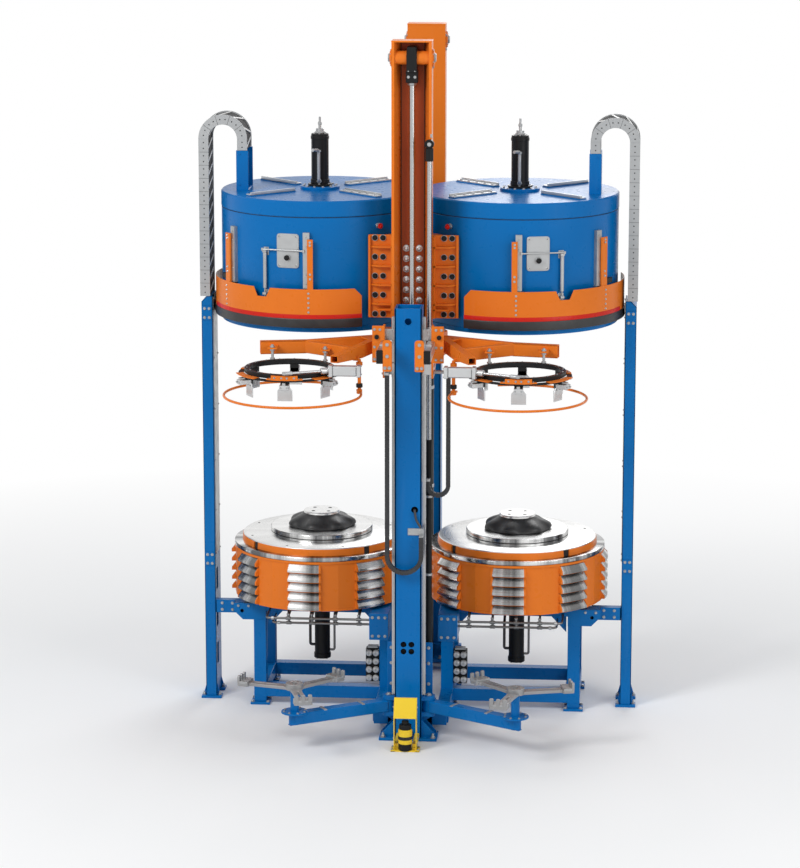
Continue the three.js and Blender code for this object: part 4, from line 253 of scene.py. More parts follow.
def rubbery(name, color, rough, lift=0.12):
    mat, nt, shader, coords = new_material(name)
    vector = mapping(nt, coords, (1, 1, 1))
    broad = noise(nt, vector, 9.0, 5)
    tone = mix(nt, ramp(nt, broad, 0.4, 0.75, 0.0, lift * 4), color,
               tuple(min(1, c + lift * 0.25) for c in color))
    nt.links.new(tone, shader.inputs["Base Color"])
    nt.links.new(ramp(nt, noise(nt, vector, 90, 3), 0.3, 0.7, rough - 0.08, rough + 0.12),
                 shader.inputs["Roughness"])
    bump(nt, shader, noise(nt, vector, 300, 3), 0.12)
    return mat


MATERIALS = {
    "blue": paint("blue_paint", (0.0, 0.145, 0.44), (0.0, 0.12, 0.37)),
    "orange": paint("orange_paint", (0.76, 0.185, 0.018), (0.66, 0.15, 0.014)),
    # Orange darkened as painted shade, for the web deep in a mast's channel
    "shaded_orange": paint("shaded_orange_paint", (0.4, 0.08, 0.022), (0.32, 0.062, 0.016), 0.45),
    "yellow": paint("yellow_paint", (0.86, 0.6, 0.04), (0.76, 0.5, 0.03)),
    "black": paint("black_paint", (0.012, 0.0125, 0.013), (0.009, 0.009, 0.01), 0.38),
    "red": paint("red_paint", (0.58, 0.018, 0.01), (0.48, 0.014, 0.008)),
    "white": paint("white_plastic", (0.8, 0.8, 0.78), (0.72, 0.72, 0.7), 0.4),
    "steel": metal("steel", (0.5, 0.5, 0.5), 0.3, grain=(1, 1, 0.1)),
    "iron": metal("iron", (0.2, 0.2, 0.2), 0.38),
    "cast": metal("cast_metal", (0.34, 0.34, 0.345), 0.45, 0.8, grain_scale=30, dirt=0.2),
    # Turned, polished and tooth steel: darker sectors as painted reflection, near black on polished and tooth
    # steel
    "turned": turned_steel("turned_steel", 0.26, (0.5, 0.495, 0.49), 0.3),
    "polished": turned_steel("polished_steel", 0.14, (0.1, 0.1, 0.105), 0.95),
    "tooth": turned_steel("tooth_steel", 0.22, (0.07, 0.07, 0.07), 0.85),
    "chrome": metal("chrome", (0.44, 0.445, 0.45), 0.26, spread=0.05, dirt=0.05),
    "zinc": metal("galvanised", (0.43, 0.44, 0.445), 0.42, 0.85, grain_scale=14, spread=0.2, dirt=0.3),
    "chain": metal("chain_steel", (0.4, 0.41, 0.415), 0.5, 0.6, grain_scale=14, spread=0.1, dirt=0.1),
    "aluminium": metal("aluminium", (0.6, 0.61, 0.615), 0.34, 0.9, grain=(1, 0.2, 1)),
    "rubber": rubbery("rubber", (0.012, 0.012, 0.013), 0.42),
    "plastic": rubbery("black_plastic", (0.02, 0.02, 0.022), 0.5),
    # Near black, for black parts and as painted shade in holes, grooves, gaps and hollow insides
    "dark": rubbery("black_and_painted_shade", (0.008, 0.008, 0.009), 0.8),
    "cable": rubbery("cable", (0.03, 0.03, 0.033), 0.45),
}


# ---------------------------------------------------------------- mesh building
def inset(poly, d):
    count = len(poly)
    out = []
    for i in range(count):
        a, b, c = Vector(poly[i - 1]), Vector(poly[i]), Vector(poly[(i + 1) % count])
        e1, e2 = (b - a).normalized(), (c - b).normalized()
        n1, n2 = Vector((-e1.y, e1.x)), Vector((-e2.y, e2.x))
        k = 1 + n1.dot(n2)
        out.append(tuple(b + (n1 + n2) / max(k, 0.35) * d))
    return out


def area(poly):
    return sum(poly[i - 1][0] * poly[i][1] - poly[i][0] * poly[i - 1][1] for i in range(len(poly))) / 2


def ccw(poly):
    poly = [tuple(p) for p in poly]
    return poly if area(poly) > 0 else poly[::-1]


def inside(p, poly):
    hit = False
    for i in range(len(poly)):
        (x0, y0), (x1, y1) = poly[i - 1], poly[i]
        if (y0 > p[1]) != (y1 > p[1]) and p[0] < (x1 - x0) * (p[1] - y0) / (y1 - y0) + x0:
            hit = not hit
    return hit


def chamfer(points, c, closed=True):
    out = []
    count = len(points)
    for i, p in enumerate(points):
        if not closed and i in (0, count - 1):
            out.append(tuple(p))
            continue
        p = Vector(p)
        a, b = Vector(points[i - 1]), Vector(points[(i + 1) % count])
        da, db = a - p, b - p
        k = min(c, da.length * 0.4, db.length * 0.4)
        if k < 0.05 or da.length < 1e-6 or db.length < 1e-6:
            out.append(tuple(p))
            continue
        out.append(tuple(p + da.normalized() * k))
        out.append(tuple(p + db.normalized() * k))
    return out


def rounded(points, r, steps=4):
    out = []
    count = len(points)
    radii = r if isinstance(r, (list, tuple)) else [r] * count
    for i, p in enumerate(points):
        p = Vector(p)
        if radii[i] <= 0:
            out.append(tuple(p))
            continue
        a, b = Vector(points[i - 1]) - p, Vector(points[(i + 1) % count]) - p
        k = min(radii[i], a.length * 0.45, b.length * 0.45)
        s, e = p + a.normalized() * k, p + b.normalized() * k
        for j in range(steps + 1):
            t = j / steps
            out.append(tuple((1 - t) ** 2 * s + 2 * t * (1 - t) * p + t * t * e))
    return out


def rect(x0, x1, y0, y1):
    return [(x0, y0), (x1, y0), (x1, y1), (x0, y1)]


def circle(cx, cy, r, n=24, start=0.0):
    return [(cx + r * math.cos(start + TAU * i / n), cy + r * math.sin(start + TAU * i / n))
            for i in range(n)]


FRAMES = {
    "xy": Matrix(((1, 0, 0), (0, 1, 0), (0, 0, 1))),
    "xz": Matrix(((1, 0, 0), (0, 0, 1), (0, 1, 0))),
    "yz": Matrix(((0, 0, 1), (1, 0, 0), (0, 1, 0))),
}


def polar(r, angle, cx=0.0, cy=0.0):
    a = math.radians(angle)
    return cx + r * math.cos(a), cy + r * math.sin(a)


def outward(angle):
    return (*polar(1, angle), 0)


def along(p, q):
    """A frame at p whose z axis points to q, and the distance between them."""
    axis = Vector(q) - Vector(p)
    return Matrix.Translation(Vector(p)) @ axis.to_track_quat("Z", "Y").to_matrix().to_4x4(), axis.length


class Part:
    """One visual object, gathered from simple shapes in millimetres."""

    def __init__(self, name, body, nodes, side=1):
        self.name, self.body, self.side = name, body, side
        self.nodes = [nodes] if isinstance(nodes, str) else list(nodes)
        self.verts, self.faces, self.index, self.mats = [], [], [], []
        self.matrix = Matrix.Identity(4)

    def add(self, verts, faces, mat):
        if mat not in self.mats:
            self.mats.append(mat)
        base = len(self.verts)
        slot = self.mats.index(mat)
        m = self.matrix
        self.verts.extend(tuple(m @ Vector(v)) for v in verts)
        self.faces.extend([base + i for i in f] for f in faces)
        self.index.extend([slot] * len(faces))

    def plate(self, outline, a, b, mat, holes=(), c=1.2, frame="xy", turn=None):
        """A plate from a flat outline with holes, with small chamfers on its rims."""
        m = turn if turn is not None else FRAMES[frame].to_4x4()
        outline = ccw(outline)
        holes = [ccw(h) for h in holes]
        a, b = min(a, b), max(a, b)
        c = max(0.0, min(c, (b - a) * 0.35))
        loops = [(outline, c)] + [(h, -c) for h in holes]
        verts, faces = [], []
        rims = {}
        for k, (loop, d) in enumerate(loops):
            small = inset(loop, d) if c > 0 else loop
            levels = [(loop, a), (loop, b)]
            if c > 0:
                levels = [(small, a), (loop, a + c), (loop, b - c), (small, b)]
            count = len(loop)
            starts = []
            for pts, w in levels:
                starts.append(len(verts))
                verts.extend((p[0], p[1], w) for p in pts)
            for s, t in zip(starts, starts[1:]):
                for i in range(count):
                    j = (i + 1) % count
                    faces.append([s + i, s + j, t + j, t + i])
            rims[k] = (small, starts[0], starts[-1])
        if not holes:
            small, low, high = rims[0]
            count = len(small)
            faces.append([low + i for i in range(count)][::-1])
            faces.append([high + i for i in range(count)])
        else:
            flat, edges, keys = [], [], []
            for k in range(len(loops)):
                small, low, high = rims[k]
                s = len(flat)
                flat.extend(Vector(p) for p in small)
                keys.extend((low + i, high + i) for i in range(len(small)))
                edges.extend((s + i, s + (i + 1) % len(small)) for i in range(len(small)))
            out = geometry.delaunay_2d_cdt(flat, edges, [], 0, 1e-5)
            origin = {}
            for i, src in enumerate(out[3]):
                if src:
                    origin[i] = src[0]
            for tri in out[2]:
                if any(i not in origin for i in tri):
                    continue
                mid = sum((out[0][i] for i in tri), Vector((0, 0))) / len(tri)
                if not inside(mid, rims[0][0]) or any(inside(mid, rims[k][0])
                                                      for k in range(1, len(loops))):
                    continue
                faces.append([keys[origin[i]][0] for i in tri][::-1])
                faces.append([keys[origin[i]][1] for i in tri])
        self.add([tuple(m @ Vector(v)) for v in verts], faces, mat)

    def box(self, x0, x1, y0, y1, z0, z1, mat, c=1.5, turn=None):
        x0, x1 = min(x0, x1), max(x0, x1)
        y0, y1 = min(y0, y1), max(y0, y1)
        z0, z1 = min(z0, z1), max(z0, z1)
        c = min(c, (x1 - x0) * 0.3, (y1 - y0) * 0.3, (z1 - z0) * 0.3)
        outline = chamfer(rect(x0, x1, y0, y1), c)
        self.plate(outline, z0, z1, mat, c=c, turn=turn)

    def lathe(self, profile, mat, cx=0.0, cy=0.0, segs=96, a0=0.0, a1=360.0, closed=True, c=0.0,
              z_turn=None):
        if c:
            profile = chamfer(profile, c, closed)
        full = abs(a1 - a0) > 359.9
        rings = segs if full else segs + 1
        count = len(profile)
        verts = []
        for s in range(rings):
            a = math.radians(a0 + (a1 - a0) * s / segs)
            verts.extend((cx + r * math.cos(a), cy + r * math.sin(a), z) for r, z in profile)
        faces = []
        for s in range(segs):
            t = (s + 1) % rings
            for i in range(count if closed else count - 1):
                j = (i + 1) % count
                q = [s * count + i, t * count + i, t * count + j, s * count + j]
                if profile[i][0] < 1e-6:
                    q = [q[0], q[2], q[3]]
                elif profile[j][0] < 1e-6:
                    q = [q[0], q[1], q[2]]
                faces.append(q)
        if closed and not full:
            faces.append(list(range(count)))
            faces.append([(rings - 1) * count + i for i in range(count)][::-1])
        if z_turn is not None:
            verts = [tuple(z_turn @ Vector(v)) for v in verts]
        self.add(verts, faces, mat)

    def cyl(self, p, q, r, mat, segs=28, c=1.0, r2=None):
        m, length = along(p, q)
        c = min(c, r * 0.4, length * 0.4)
        r2 = r if r2 is None else r2
        self.lathe([(0, 0), (r - c, 0), (r, c), (r2, length - c), (r2 - c, length), (0, length)], mat,
                   segs=segs, closed=False, z_turn=m)

    def pipe(self, p, q, r, inner, mat, segs=28, c=1.0):
        m, length = along(p, q)
        self.lathe(rect(inner, r, 0, length), mat, segs=segs, c=c, z_turn=m)

    def tube(self, points, r, mat, segs=12, bend=0.0, closed=False):
        pts = [Vector(p) for p in points]
        if bend:
            path = [pts[0]]
            for i in range(1, len(pts) - 1):
                a, b = pts[i - 1] - pts[i], pts[i + 1] - pts[i]
                k = min(bend, a.length * 0.48, b.length * 0.48)
                s, e = pts[i] + a.normalized() * k, pts[i] + b.normalized() * k
                for j in range(7):
                    t = j / 6
                    path.append((1 - t) ** 2 * s + 2 * t * (1 - t) * pts[i] + t * t * e)
            path.append(pts[-1])
            pts = path
        count = len(pts)
        verts, faces = [], []
        tangent = (pts[1] - pts[0]).normalized()
        normal = tangent.orthogonal().normalized()
        for i, p in enumerate(pts):
            if closed:
                new = (pts[(i + 1) % count] - pts[i - 1]).normalized()
            else:
                new = (pts[min(i + 1, count - 1)] - pts[max(i - 1, 0)]).normalized()
            normal = (tangent.rotation_difference(new) @ normal).normalized()
            normal = (normal - new * normal.dot(new)).normalized()
            tangent = new
            side = tangent.cross(normal)
            for s in range(segs):
                a = TAU * s / segs
                verts.append(tuple(p + (normal * math.cos(a) + side * math.sin(a)) * r))
        for i in range(count if closed else count - 1):
            j = (i + 1) % count
            for s in range(segs):
                t = (s + 1) % segs
                faces.append([i * segs + s, i * segs + t, j * segs + t, j * segs + s])
        if not closed:
            faces.append(list(range(segs))[::-1])
            faces.append([(count - 1) * segs + s for s in range(segs)])
        self.add(verts, faces, mat)

    def bolt(self, p, axis, r, mat="steel", h=None, washer=True, sides=6):
        p, axis = Vector(p), Vector(axis).normalized()
        h = h or r * 0.75
        low = p
        if washer:
            self.cyl(p, p + axis * h * 0.22, r * 1.3, mat, 20, 0.5)
            low = p + axis * h * 0.2
        self.cyl(low, low + axis * h, r, mat, sides, r * 0.12)
        # A round head gets a dark disc: painted shade of its socket
        if sides > 8:
            self.cyl(low + axis * h * 0.98, low + axis * h * 1.01, r * 0.5, "dark", 6, 0)

    # An upright cylinder and an upright pipe
    def vcyl(self, x, y, z0, z1, *args):
        self.cyl((x, y, z0), (x, y, z1), *args)

    def vpipe(self, x, y, z0, z1, *args):
        self.pipe((x, y, z0), (x, y, z1), *args)

    def ring(self, r0, r1, z0, z1, *args, **more):
        """A lathed ring or a sector of one, with four corners in its section."""
        self.lathe(rect(r0, r1, z0, z1), *args, **more)

    def boxes(self, mat, c, *sizes, turn=None):
        """Boxes of one material and chamfer."""
        for size in sizes:
            self.box(*size, mat, c, turn)

    def bolts(self, xs, ys, zs, *args, **more):
        """A bolt at each meeting of the given x, y and z; a lone number stands for itself."""
        for point in itertools.product(*(v if isinstance(v, tuple) else (v,) for v in (xs, ys, zs))):
            self.bolt(point, *args, **more)

    def bolt_circle(self, count, radius, first, at, z, *args, up=1, **more):
        """Bolts spread evenly about an upright axis, the first one at the given angle."""
        for k in range(count):
            self.bolt((*polar(radius, first + 360 / count * k, *at), z), (0, 0, up), *args, **more)

    def pin_circle(self, count, radius, first, cx, z0, z1, r, mat, segs):
        """Upright pins spread evenly about a cavity's axis."""
        for k in range(count):
            x, y = polar(radius, first + 360 / count * k, cx)
            self.cyl((x, y, z0), (x, y, z1), r, mat, segs, 0)

    def done(self, angle=34):
        mesh = bpy.data.meshes.new(self.name)
        verts = [((v[0] * self.side) / 1000, (v[1] + SHIFT) / 1000, v[2] / 1000) for v in self.verts]
        mesh.from_pydata(verts, [], self.faces)
        mesh.validate()
        for mat in self.mats:
            mesh.materials.append(MATERIALS[mat])
        if len(mesh.polygons) == len(self.index):
            mesh.polygons.foreach_set("material_index", self.index)
        bm = bmesh.new()
        bm.from_mesh(mesh)
        bmesh.ops.recalc_face_normals(bm, faces=bm.faces)
        bm.to_mesh(mesh)
        bm.free()
        mesh.polygons.foreach_set("use_smooth", [True] * len(mesh.polygons))
        mesh.set_sharp_from_angle(angle=math.radians(angle))
        obj = bpy.data.objects.new(self.name, mesh)
        bpy.context.scene.collection.objects.link(obj)
        if self.body:
            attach(obj, self.body)
        if self.nodes:
            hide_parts(*self.nodes)
        return obj


def turn_z(angle, cx=0.0, cy=0.0, z=0.0):
    return Matrix.Translation((cx, cy, z)) @ Matrix.Rotation(math.radians(angle), 4, "Z")


def radial(angle, cx, cy=0.0):
    """A frame at a cavity's axis whose local x points outwards at the angle."""
    return turn_z(angle, cx, cy)


SIDES = (("left", -1), ("right", 1))


# ---------------------------------------------------------------- lock drums and lower platens
def lock_drum(name, side, front):
    p = Part(f"vis_{name}_lock_drum", "press_frame", f"{name}_lock_drum")
    cx = side * CAVITY
    z0, pitch = DRUM_BOTTOM, TOOTH_PITCH
    seg = 22.2
    gap = STACK_STEP - seg
    lip = 1.2
    p.ring(300, 669, z0, z0 + 18, "orange", cx, segs=96, c=2)
    p.ring(598, 640, z0 + 1, z0 + DRUM_HEIGHT, "steel", cx, segs=96, c=1)
    for k in range(STACKS):
        mid = front + STACK_STEP * k
        # Plain wall between the stacks, folded in two flats
        p.ring(636, 672, z0, z0 + DRUM_HEIGHT, "orange", cx, segs=2, a0=mid + seg / 2, a1=mid + seg / 2 + gap,
               c=1.5)
        p.ring(660, 674.5, z0 - 0.6, z0 + 12, "orange", cx, segs=2, a0=mid + seg / 2, a1=mid + seg / 2 + gap,
               c=1)
        for row in range(TOOTH_ROWS):
            z = z0 + pitch * row
            top = z + pitch - 0.4
            prof = [(640, z + 12), (704, z + 12), (704, z + 30), (668, top), (640, top)]
            p.lathe(prof, "tooth", cx, segs=4, a0=mid - seg / 2 + lip, a1=mid + seg / 2 - lip, c=0.6)
            prof = [(640, z + 12.2), (703, z + 12.2), (703, z + 36), (668, z + pitch + 4),
                    (640, z + pitch + 4)]
            prof = [(r, min(q, z0 + DRUM_HEIGHT - 0.5)) for r, q in prof]
            for a in (mid - seg / 2, mid + seg / 2 - lip):
                p.lathe(prof, "orange", cx, segs=1, a0=a, a1=a + lip, c=0.8)
            p.ring(640, 673, z + 0.4, z + 13, "orange", cx, segs=10, a0=mid - seg / 2 + lip,
                   a1=mid + seg / 2 - lip, c=0.8)
    return p.done(angle=5)


def lower_platen(name, side):
    p = Part(f"vis_{name}_lower_platen", "press_frame", f"{name}_lower_platen")
    cx = side * CAVITY
    notches = (-140, -50, 40, 130)
    p.ring(31, 676.5, 1211.4, 1230, "orange", cx, segs=128, c=2)
    p.lathe([(560, 1231), (673, 1231), (677, 1235), (677, 1261), (673, 1265), (560, 1265)], "polished", cx,
            segs=128, c=1)
    for k, start in enumerate(notches):
        m = radial(start, cx)
        p.box(672, 683, -34, 34, 1238, 1259, "zinc", 2, turn=m)
        for v in (-20, 20):
            p.cyl(m @ Vector((680, v, 1248.5)), m @ Vector((688, v, 1248.5)), 7, "steel", 16, 1)
        stop = notches[(k + 1) % 4] + (360 if k == 3 else 0)
        p.lathe([(560, 1262), (616, 1262), (616, 1266), (612, 1310), (609, 1313), (560, 1313)], "orange", cx,
                segs=36, a0=start + 2.6, a1=stop - 2.6, c=1)
    # Black core that shows between the orange arcs: painted shade in the gaps
    p.lathe([(31, 1262), (604, 1262), (600, 1312), (31, 1312)], "dark", cx, segs=96, c=0.5)
    p.lathe([(31, 1312), (608, 1312), (608, 1316), (603, 1320), (31, 1320)], "turned", cx, segs=128, c=1)
    # Dark discs: painted shade of holes
    p.pin_circle(8, 560, 22.5, cx, 1318, 1320.6, 9, "dark", 20)
    p.lathe([(31, 1318), (395, 1318), (395, 1331), (388, 1332), (388, 1337), (395, 1338), (395, 1366),
             (391, 1370.3), (31, 1370.3)], "polished", cx, segs=128, c=0.8)
    p.lathe([(31, 1369), (390, 1369), (388, 1370.8), (31, 1370.8)], "turned", cx, segs=128)
    # Dark ring in the groove and dark discs for holes: painted shade
    p.ring(380, 389, 1331, 1338, "dark", cx, segs=128)
    p.pin_circle(12, 366, 15, cx, 1369, 1370.6, 5, "dark", 14)
    return p.done()


def bladder(name, side):
    p = Part(f"vis_{name}_bladder", None, f"{name}_bladder")
    cx = side * CAVITY
    levels = [(0.0, 0.9, 0.0), (0.03, 0.955, 0.1), (0.1, 1.0, 0.3), (0.2, 1.0, 0.7), (0.32, 0.975, 1.1),
              (0.45, 0.925, 1.45), (0.58, 0.85, 1.5), (0.7, 0.76, 1.3), (0.8, 0.67, 0.9), (0.9, 0.59, 0.4),
              (0.97, 0.55, 0.1), (1.0, 0.5, 0.0)]
    low, high = 1366.6, 1469.7
    turns = 168
    verts, faces = [], []
    for share, radius, flute in levels:
        for s in range(turns):
            a = TAU * s / turns
            w = math.cos(7 * a)
            w = math.copysign(abs(w) ** 0.8, w)
            r = 255 * radius * (1 + 0.062 * flute * w)
            verts.append((cx + r * math.cos(a), r * math.sin(a), low + share * (high - low)))
    for level in range(len(levels) - 1):
        for s in range(turns):
            t = (s + 1) % turns
            b = level * turns
            faces.append([b + s, b + t, b + turns + t, b + turns + s])
    faces.append(list(range(turns))[::-1])
    faces.append([(len(levels) - 1) * turns + s for s in range(turns)])
    p.add(verts, faces, "rubber")
    obj = p.done(angle=60)
    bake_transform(obj)
    return obj


def bladder_post(name, side):
    p = Part(f"vis_{name}_bladder_post", f"{name}_bladder_post", f"{name}_bladder_post")
    cx = side * CAVITY
    p.vcyl(cx, 0, 1000, 1472, 30, "chrome", 40, 1)
    p.lathe([(0, 1470), (139, 1470), (139, 1482), (133, 1488), (0, 1488)], "turned", cx, segs=96,
            closed=False)
    # Dark discs: painted shade of holes
    p.pin_circle(4, 84, 45, cx, 1486, 1488.6, 14, "dark", 24)
    return p.done()


def centre_cylinder(name, side):
    p = Part(f"vis_{name}_centre_cylinder", "press_frame", f"{name}_centre_cylinder")
    cx = side * CAVITY
    p.vpipe(cx, 0, 300, 1190, 60, 31, "black", 48, 2)
    p.vcyl(cx, 0, 300, 340, 66, "black", 48, 3)
    p.vpipe(cx, 0, 1187, 1211, 110, 31, "black", 48, 2)
    p.vpipe(cx, 0, 700, 730, 68, 59, "steel", 48, 2)
    p.bolt_circle(8, 92, 22.5, (cx,), 1187, 9, up=-1)
    p.bolt_circle(4, 52, 45, (cx,), 300, 8, up=-1)
    p.tube([(cx + 60, 0, 360), (cx + 95, 0, 360), (cx + 95, 0, 640), (cx + 95, 200, 700)], 9, "iron", bend=30)
    p.tube([(cx - 60, 0, 400), (cx - 95, 0, 400), (cx - 95, 0, 600), (cx - 95, 200, 680)], 11, "cable",
           bend=30)
    return p.done()


# ---------------------------------------------------------------- domes, lids and what they carry
def dome(name, side):
    p = Part(f"vis_{name}_dome", "dome_carriage", f"{name}_dome", side)
    cx = CAVITY
    p.lathe([(713, 3014), (748, 3014), (750, 3017), (750, 3867), (746, 3872), (746, 3875), (726, 3875),
             (726, 3027), (713, 3027)], "blue", cx, segs=160)
    # Dark ring in the seam under the lid: painted shade
    p.ring(740, 748.5, 3871, 3874.8, "dark", cx, segs=160)
    p.ring(749, 752.5, 3015, 3050, "blue", cx, segs=160, c=1)
    # Guide rails of the guard
    for angle, half in ((-88, 1.8), (-38, 2.0)):
        p.ring(745, 779, 3345, 3765, "zinc", cx, segs=2, a0=angle - half, a1=angle + half, c=2)
        for z in (3380, 3450, 3660, 3730):
            x, y = polar(779, angle, cx)
            n = outward(angle)
            p.bolt((x, y, z), n, 6, "steel", 4, washer=False, sides=12)
    p.ring(745, 781, 3352, 3392, "black", cx, segs=3, a0=-32.0, a1=-24.5, c=3)
    # Gas cylinder that balances the guard, with its seats on the dome
    m = radial(-63.5, cx)
    axis = m @ Vector((772, 0, 0))
    x, y = axis.x, axis.y
    p.vcyl(x, y, 3336, 3604, 14, "zinc", 32, 2)
    p.vcyl(x, y, 3296, 3338, 6, "chrome", 20, 0.5)
    for z in (3602, 3284):
        p.box(748, 786, -17, 17, z, z + 20, "zinc", 3, turn=m)
        p.box(746, 755, -22, 22, z - 20, z + 40, "zinc", 2, turn=m)
    # Link from the cylinder's upper seat to the rail
    start, end = polar(786, -62.6, cx), polar(784, -86.6, cx)
    p.tube([(*start, 3628), (*end, 3628)], 6, "zinc", 12)
    p.vcyl(*start, 3618, 3638, 10, "zinc", 20, 1)
    p.vcyl(*end, 3618, 3638, 10, "zinc", 20, 1)
    # Hatch with its screws and knob
    flat = radial(-77.1, cx) @ FRAMES["yz"].to_4x4()
    p.plate(rounded(rect(-86, 86, 3494, 3751), 26, 5), 742, 756, "zinc", turn=flat, c=2)
    p.plate(rounded(rect(-76, 76, 3504, 3741), 20, 5), 755, 757.5, "zinc", turn=flat, c=1)
    out = flat.to_3x3() @ Vector((0, 0, 1))
    for u in (-67, 67):
        for z in (3514, 3731):
            p.bolt(flat @ Vector((u, z, 757)), out, 8, "steel", 5, sides=12)
    p.cyl(flat @ Vector((2, 3573, 757)), flat @ Vector((2, 3573, 766)), 24, "zinc", 36, 2)
    p.cyl(flat @ Vector((2, 3573, 765)), flat @ Vector((2, 3573, 786)), 20, "black", 32, 6)
    # Vent valve with a red wheel
    a = -130
    p.cyl((*polar(745, a, cx), 3798), (*polar(790, a, cx), 3798), 15, "steel", 24, 1)
    p.cyl((*polar(760, a, cx), 3798), (*polar(770, a, cx), 3798), 22, "steel", 6, 1)
    p.cyl((*polar(790, a, cx), 3798), (*polar(800, a, cx), 3798), 21, "red", 28, 3)
    p.cyl((*polar(799, a, cx), 3798), (*polar(812, a, cx), 3798), 12, "red", 24, 3)
    p.ring(690, 725, 3700, 3712, "steel", cx, segs=96, c=1)
    return p.done()


def lid(name, side):
    p = Part(f"vis_{name}_lid", "dome_carriage", f"{name}_lid", side)
    cx = CAVITY
    p.lathe([(22.6, 3935), (690, 3935), (690, 3876), (749, 3876), (753, 3881), (753, 3985), (743, 3995),
             (22.6, 3995)], "blue", cx, segs=160)
    p.ring(22.6, 150, 3990, 4017, "blue", cx, segs=72, c=3)
    p.bolt_circle(12, 125, 15, (cx,), 4016.6, 9, "steel", 8)
    # Lifting bars: a silver angle on a blue foot
    for angle in (45, 135, 225, 315):
        m = radial(angle, cx)
        p.box(262, 693, -34, 34, 3990, 4001, "blue", 2, turn=m)
        p.boxes("aluminium", 2, (265, 690, -30, 30, 4000, 4010), (265, 690, -30, -20, 4000, 4024), turn=m)
        for r in (300, 390, 480, 570, 660):
            x, y = polar(r, angle, cx)
            dx, dy = polar(8, angle + 90)
            p.bolt((x + dx, y + dy, 4010), (0, 0, 1), 9, "steel", 7)
    # Channel that holds the energy chain's moving end
    y0, y1 = CHAIN_FRONT, CHAIN_BACK
    p.boxes("blue", 2, (1370, 1378, y0, y1, 3989, 4299), (1286, 1376, y0 + 1, y0 + 9, 3990, 4298),
            (1286, 1376, y1 - 9, y1 - 1, 3990, 4298), (1290, 1372, y0 + 2, y1 - 2, 3991, 4003))
    for z in (4040, 4270):
        p.bolt((1352, y0 + 1, z), (0, -1, 0), 7, "blue", 5)
        p.bolt((1352, y1 - 1, z), (0, 1, 0), 7, "blue", 5)
    return p.done()


def top_cylinder(name, side):
    p = Part(f"vis_{name}_top_cylinder", "dome_carriage", f"{name}_top_cylinder")
    cx = side * CAVITY
    p.vpipe(cx, 0, 4017.4, 4033, 92, 22.6, "black", 48, 2)
    p.vpipe(cx, 0, 4030, 4413, 66, 22.6, "black", 56, 3)
    p.vcyl(cx, 0, 4405, 4413.5, 64, "black", 56, 2)
    p.vpipe(cx, 0, 4036, 4068, 72, 60, "black", 56, 2)
    p.vpipe(cx, 0, 4372, 4396, 70, 60, "black", 56, 2)
    p.vpipe(cx, 0, 4412, 4452, 30, 11.6, "zinc", 36, 3)
    p.vpipe(cx, 0, 4418, 4430, 38, 29, "zinc", 6, 2)
    for k in range(6):
        p.bolt((*polar(80, 30 + 60 * k, cx), 4033), (0, 0, 1), 7, "steel", 6)
        p.bolt((*polar(48, 30 + 60 * k, cx), 4413), (0, 0, 1), 6, "steel", 5)
    p.tube([(cx, -50, 4058), (cx, -98, 4058), (cx, -98, 4300), (cx - 38, -168, 4304)], 12, "zinc", 16,
           bend=26)
    p.cyl((cx, -58, 4058), (cx, -78, 4058), 19, "zinc", 6, 2)
    p.vcyl(cx, -98, 4282, 4298, 17, "zinc", 6, 2)
    return p.done()


def upper_platen(name, side):
    p = Part(f"vis_{name}_upper_platen", f"{name}_upper_platen", f"{name}_upper_platen")
    cx = side * CAVITY
    p.ring(0, 610, 3740, 3800, "turned", cx, segs=128, c=2)
    p.lathe([(0, 3710), (388, 3710), (395, 3717), (395, 3742), (0, 3742)], "turned", cx, segs=112, c=1)
    p.ring(596, 614, 3752, 3788, "zinc", cx, segs=112, c=1)
    # Dark discs: painted shade of holes
    p.pin_circle(16, 500, 0, cx, 3739, 3742, 13, "dark", 20)
    p.vcyl(cx, 0, 3798, 4120, 22, "chrome", 40, 1)
    p.vcyl(cx, 0, 4118, 4505, 11, "chrome", 28, 1)
    p.vcyl(cx, 0, 4500, 4540, 8, "zinc", 24, 2)
    p.vcyl(cx, 0, 4478, 4498, 15, "zinc", 6, 2)
    return p.done()


def lock_ring(name, side, front):
    p = Part(f"vis_{name}_lock_ring", f"{name}_lock_ring", f"{name}_lock_ring")
    cx = side * CAVITY
    top = DRUM_BOTTOM + CLOSING_TRAVEL + 4 * TOOTH_PITCH + SEAT_RISE + 30
    p.ring(711, 723, 3027.4, top, "steel", cx, segs=128, c=1)
    for k in range(STACKS):
        mid = front + STACK_STEP / 2 + STACK_STEP * k
        for row in range(1, TOOTH_ROWS):
            z = DRUM_BOTTOM + CLOSING_TRAVEL + row * TOOTH_PITCH + SEAT_RISE
            prof = [(716, z), (680, z), (680, z - 11), (713, z - 48), (716, z - 48)]
            p.lathe(prof, "tooth", cx, segs=8, a0=mid - 10.75, a1=mid + 10.75, c=1.5)
    for k in range(24):
        x, y = polar(711, 15 * k, cx)
        n = outward(15 * k)
        p.cyl((x, y, top - 14), (x - n[0] * 4, y - n[1] * 4, top - 14), 6, "steel", 12, 1)
    return p.done()


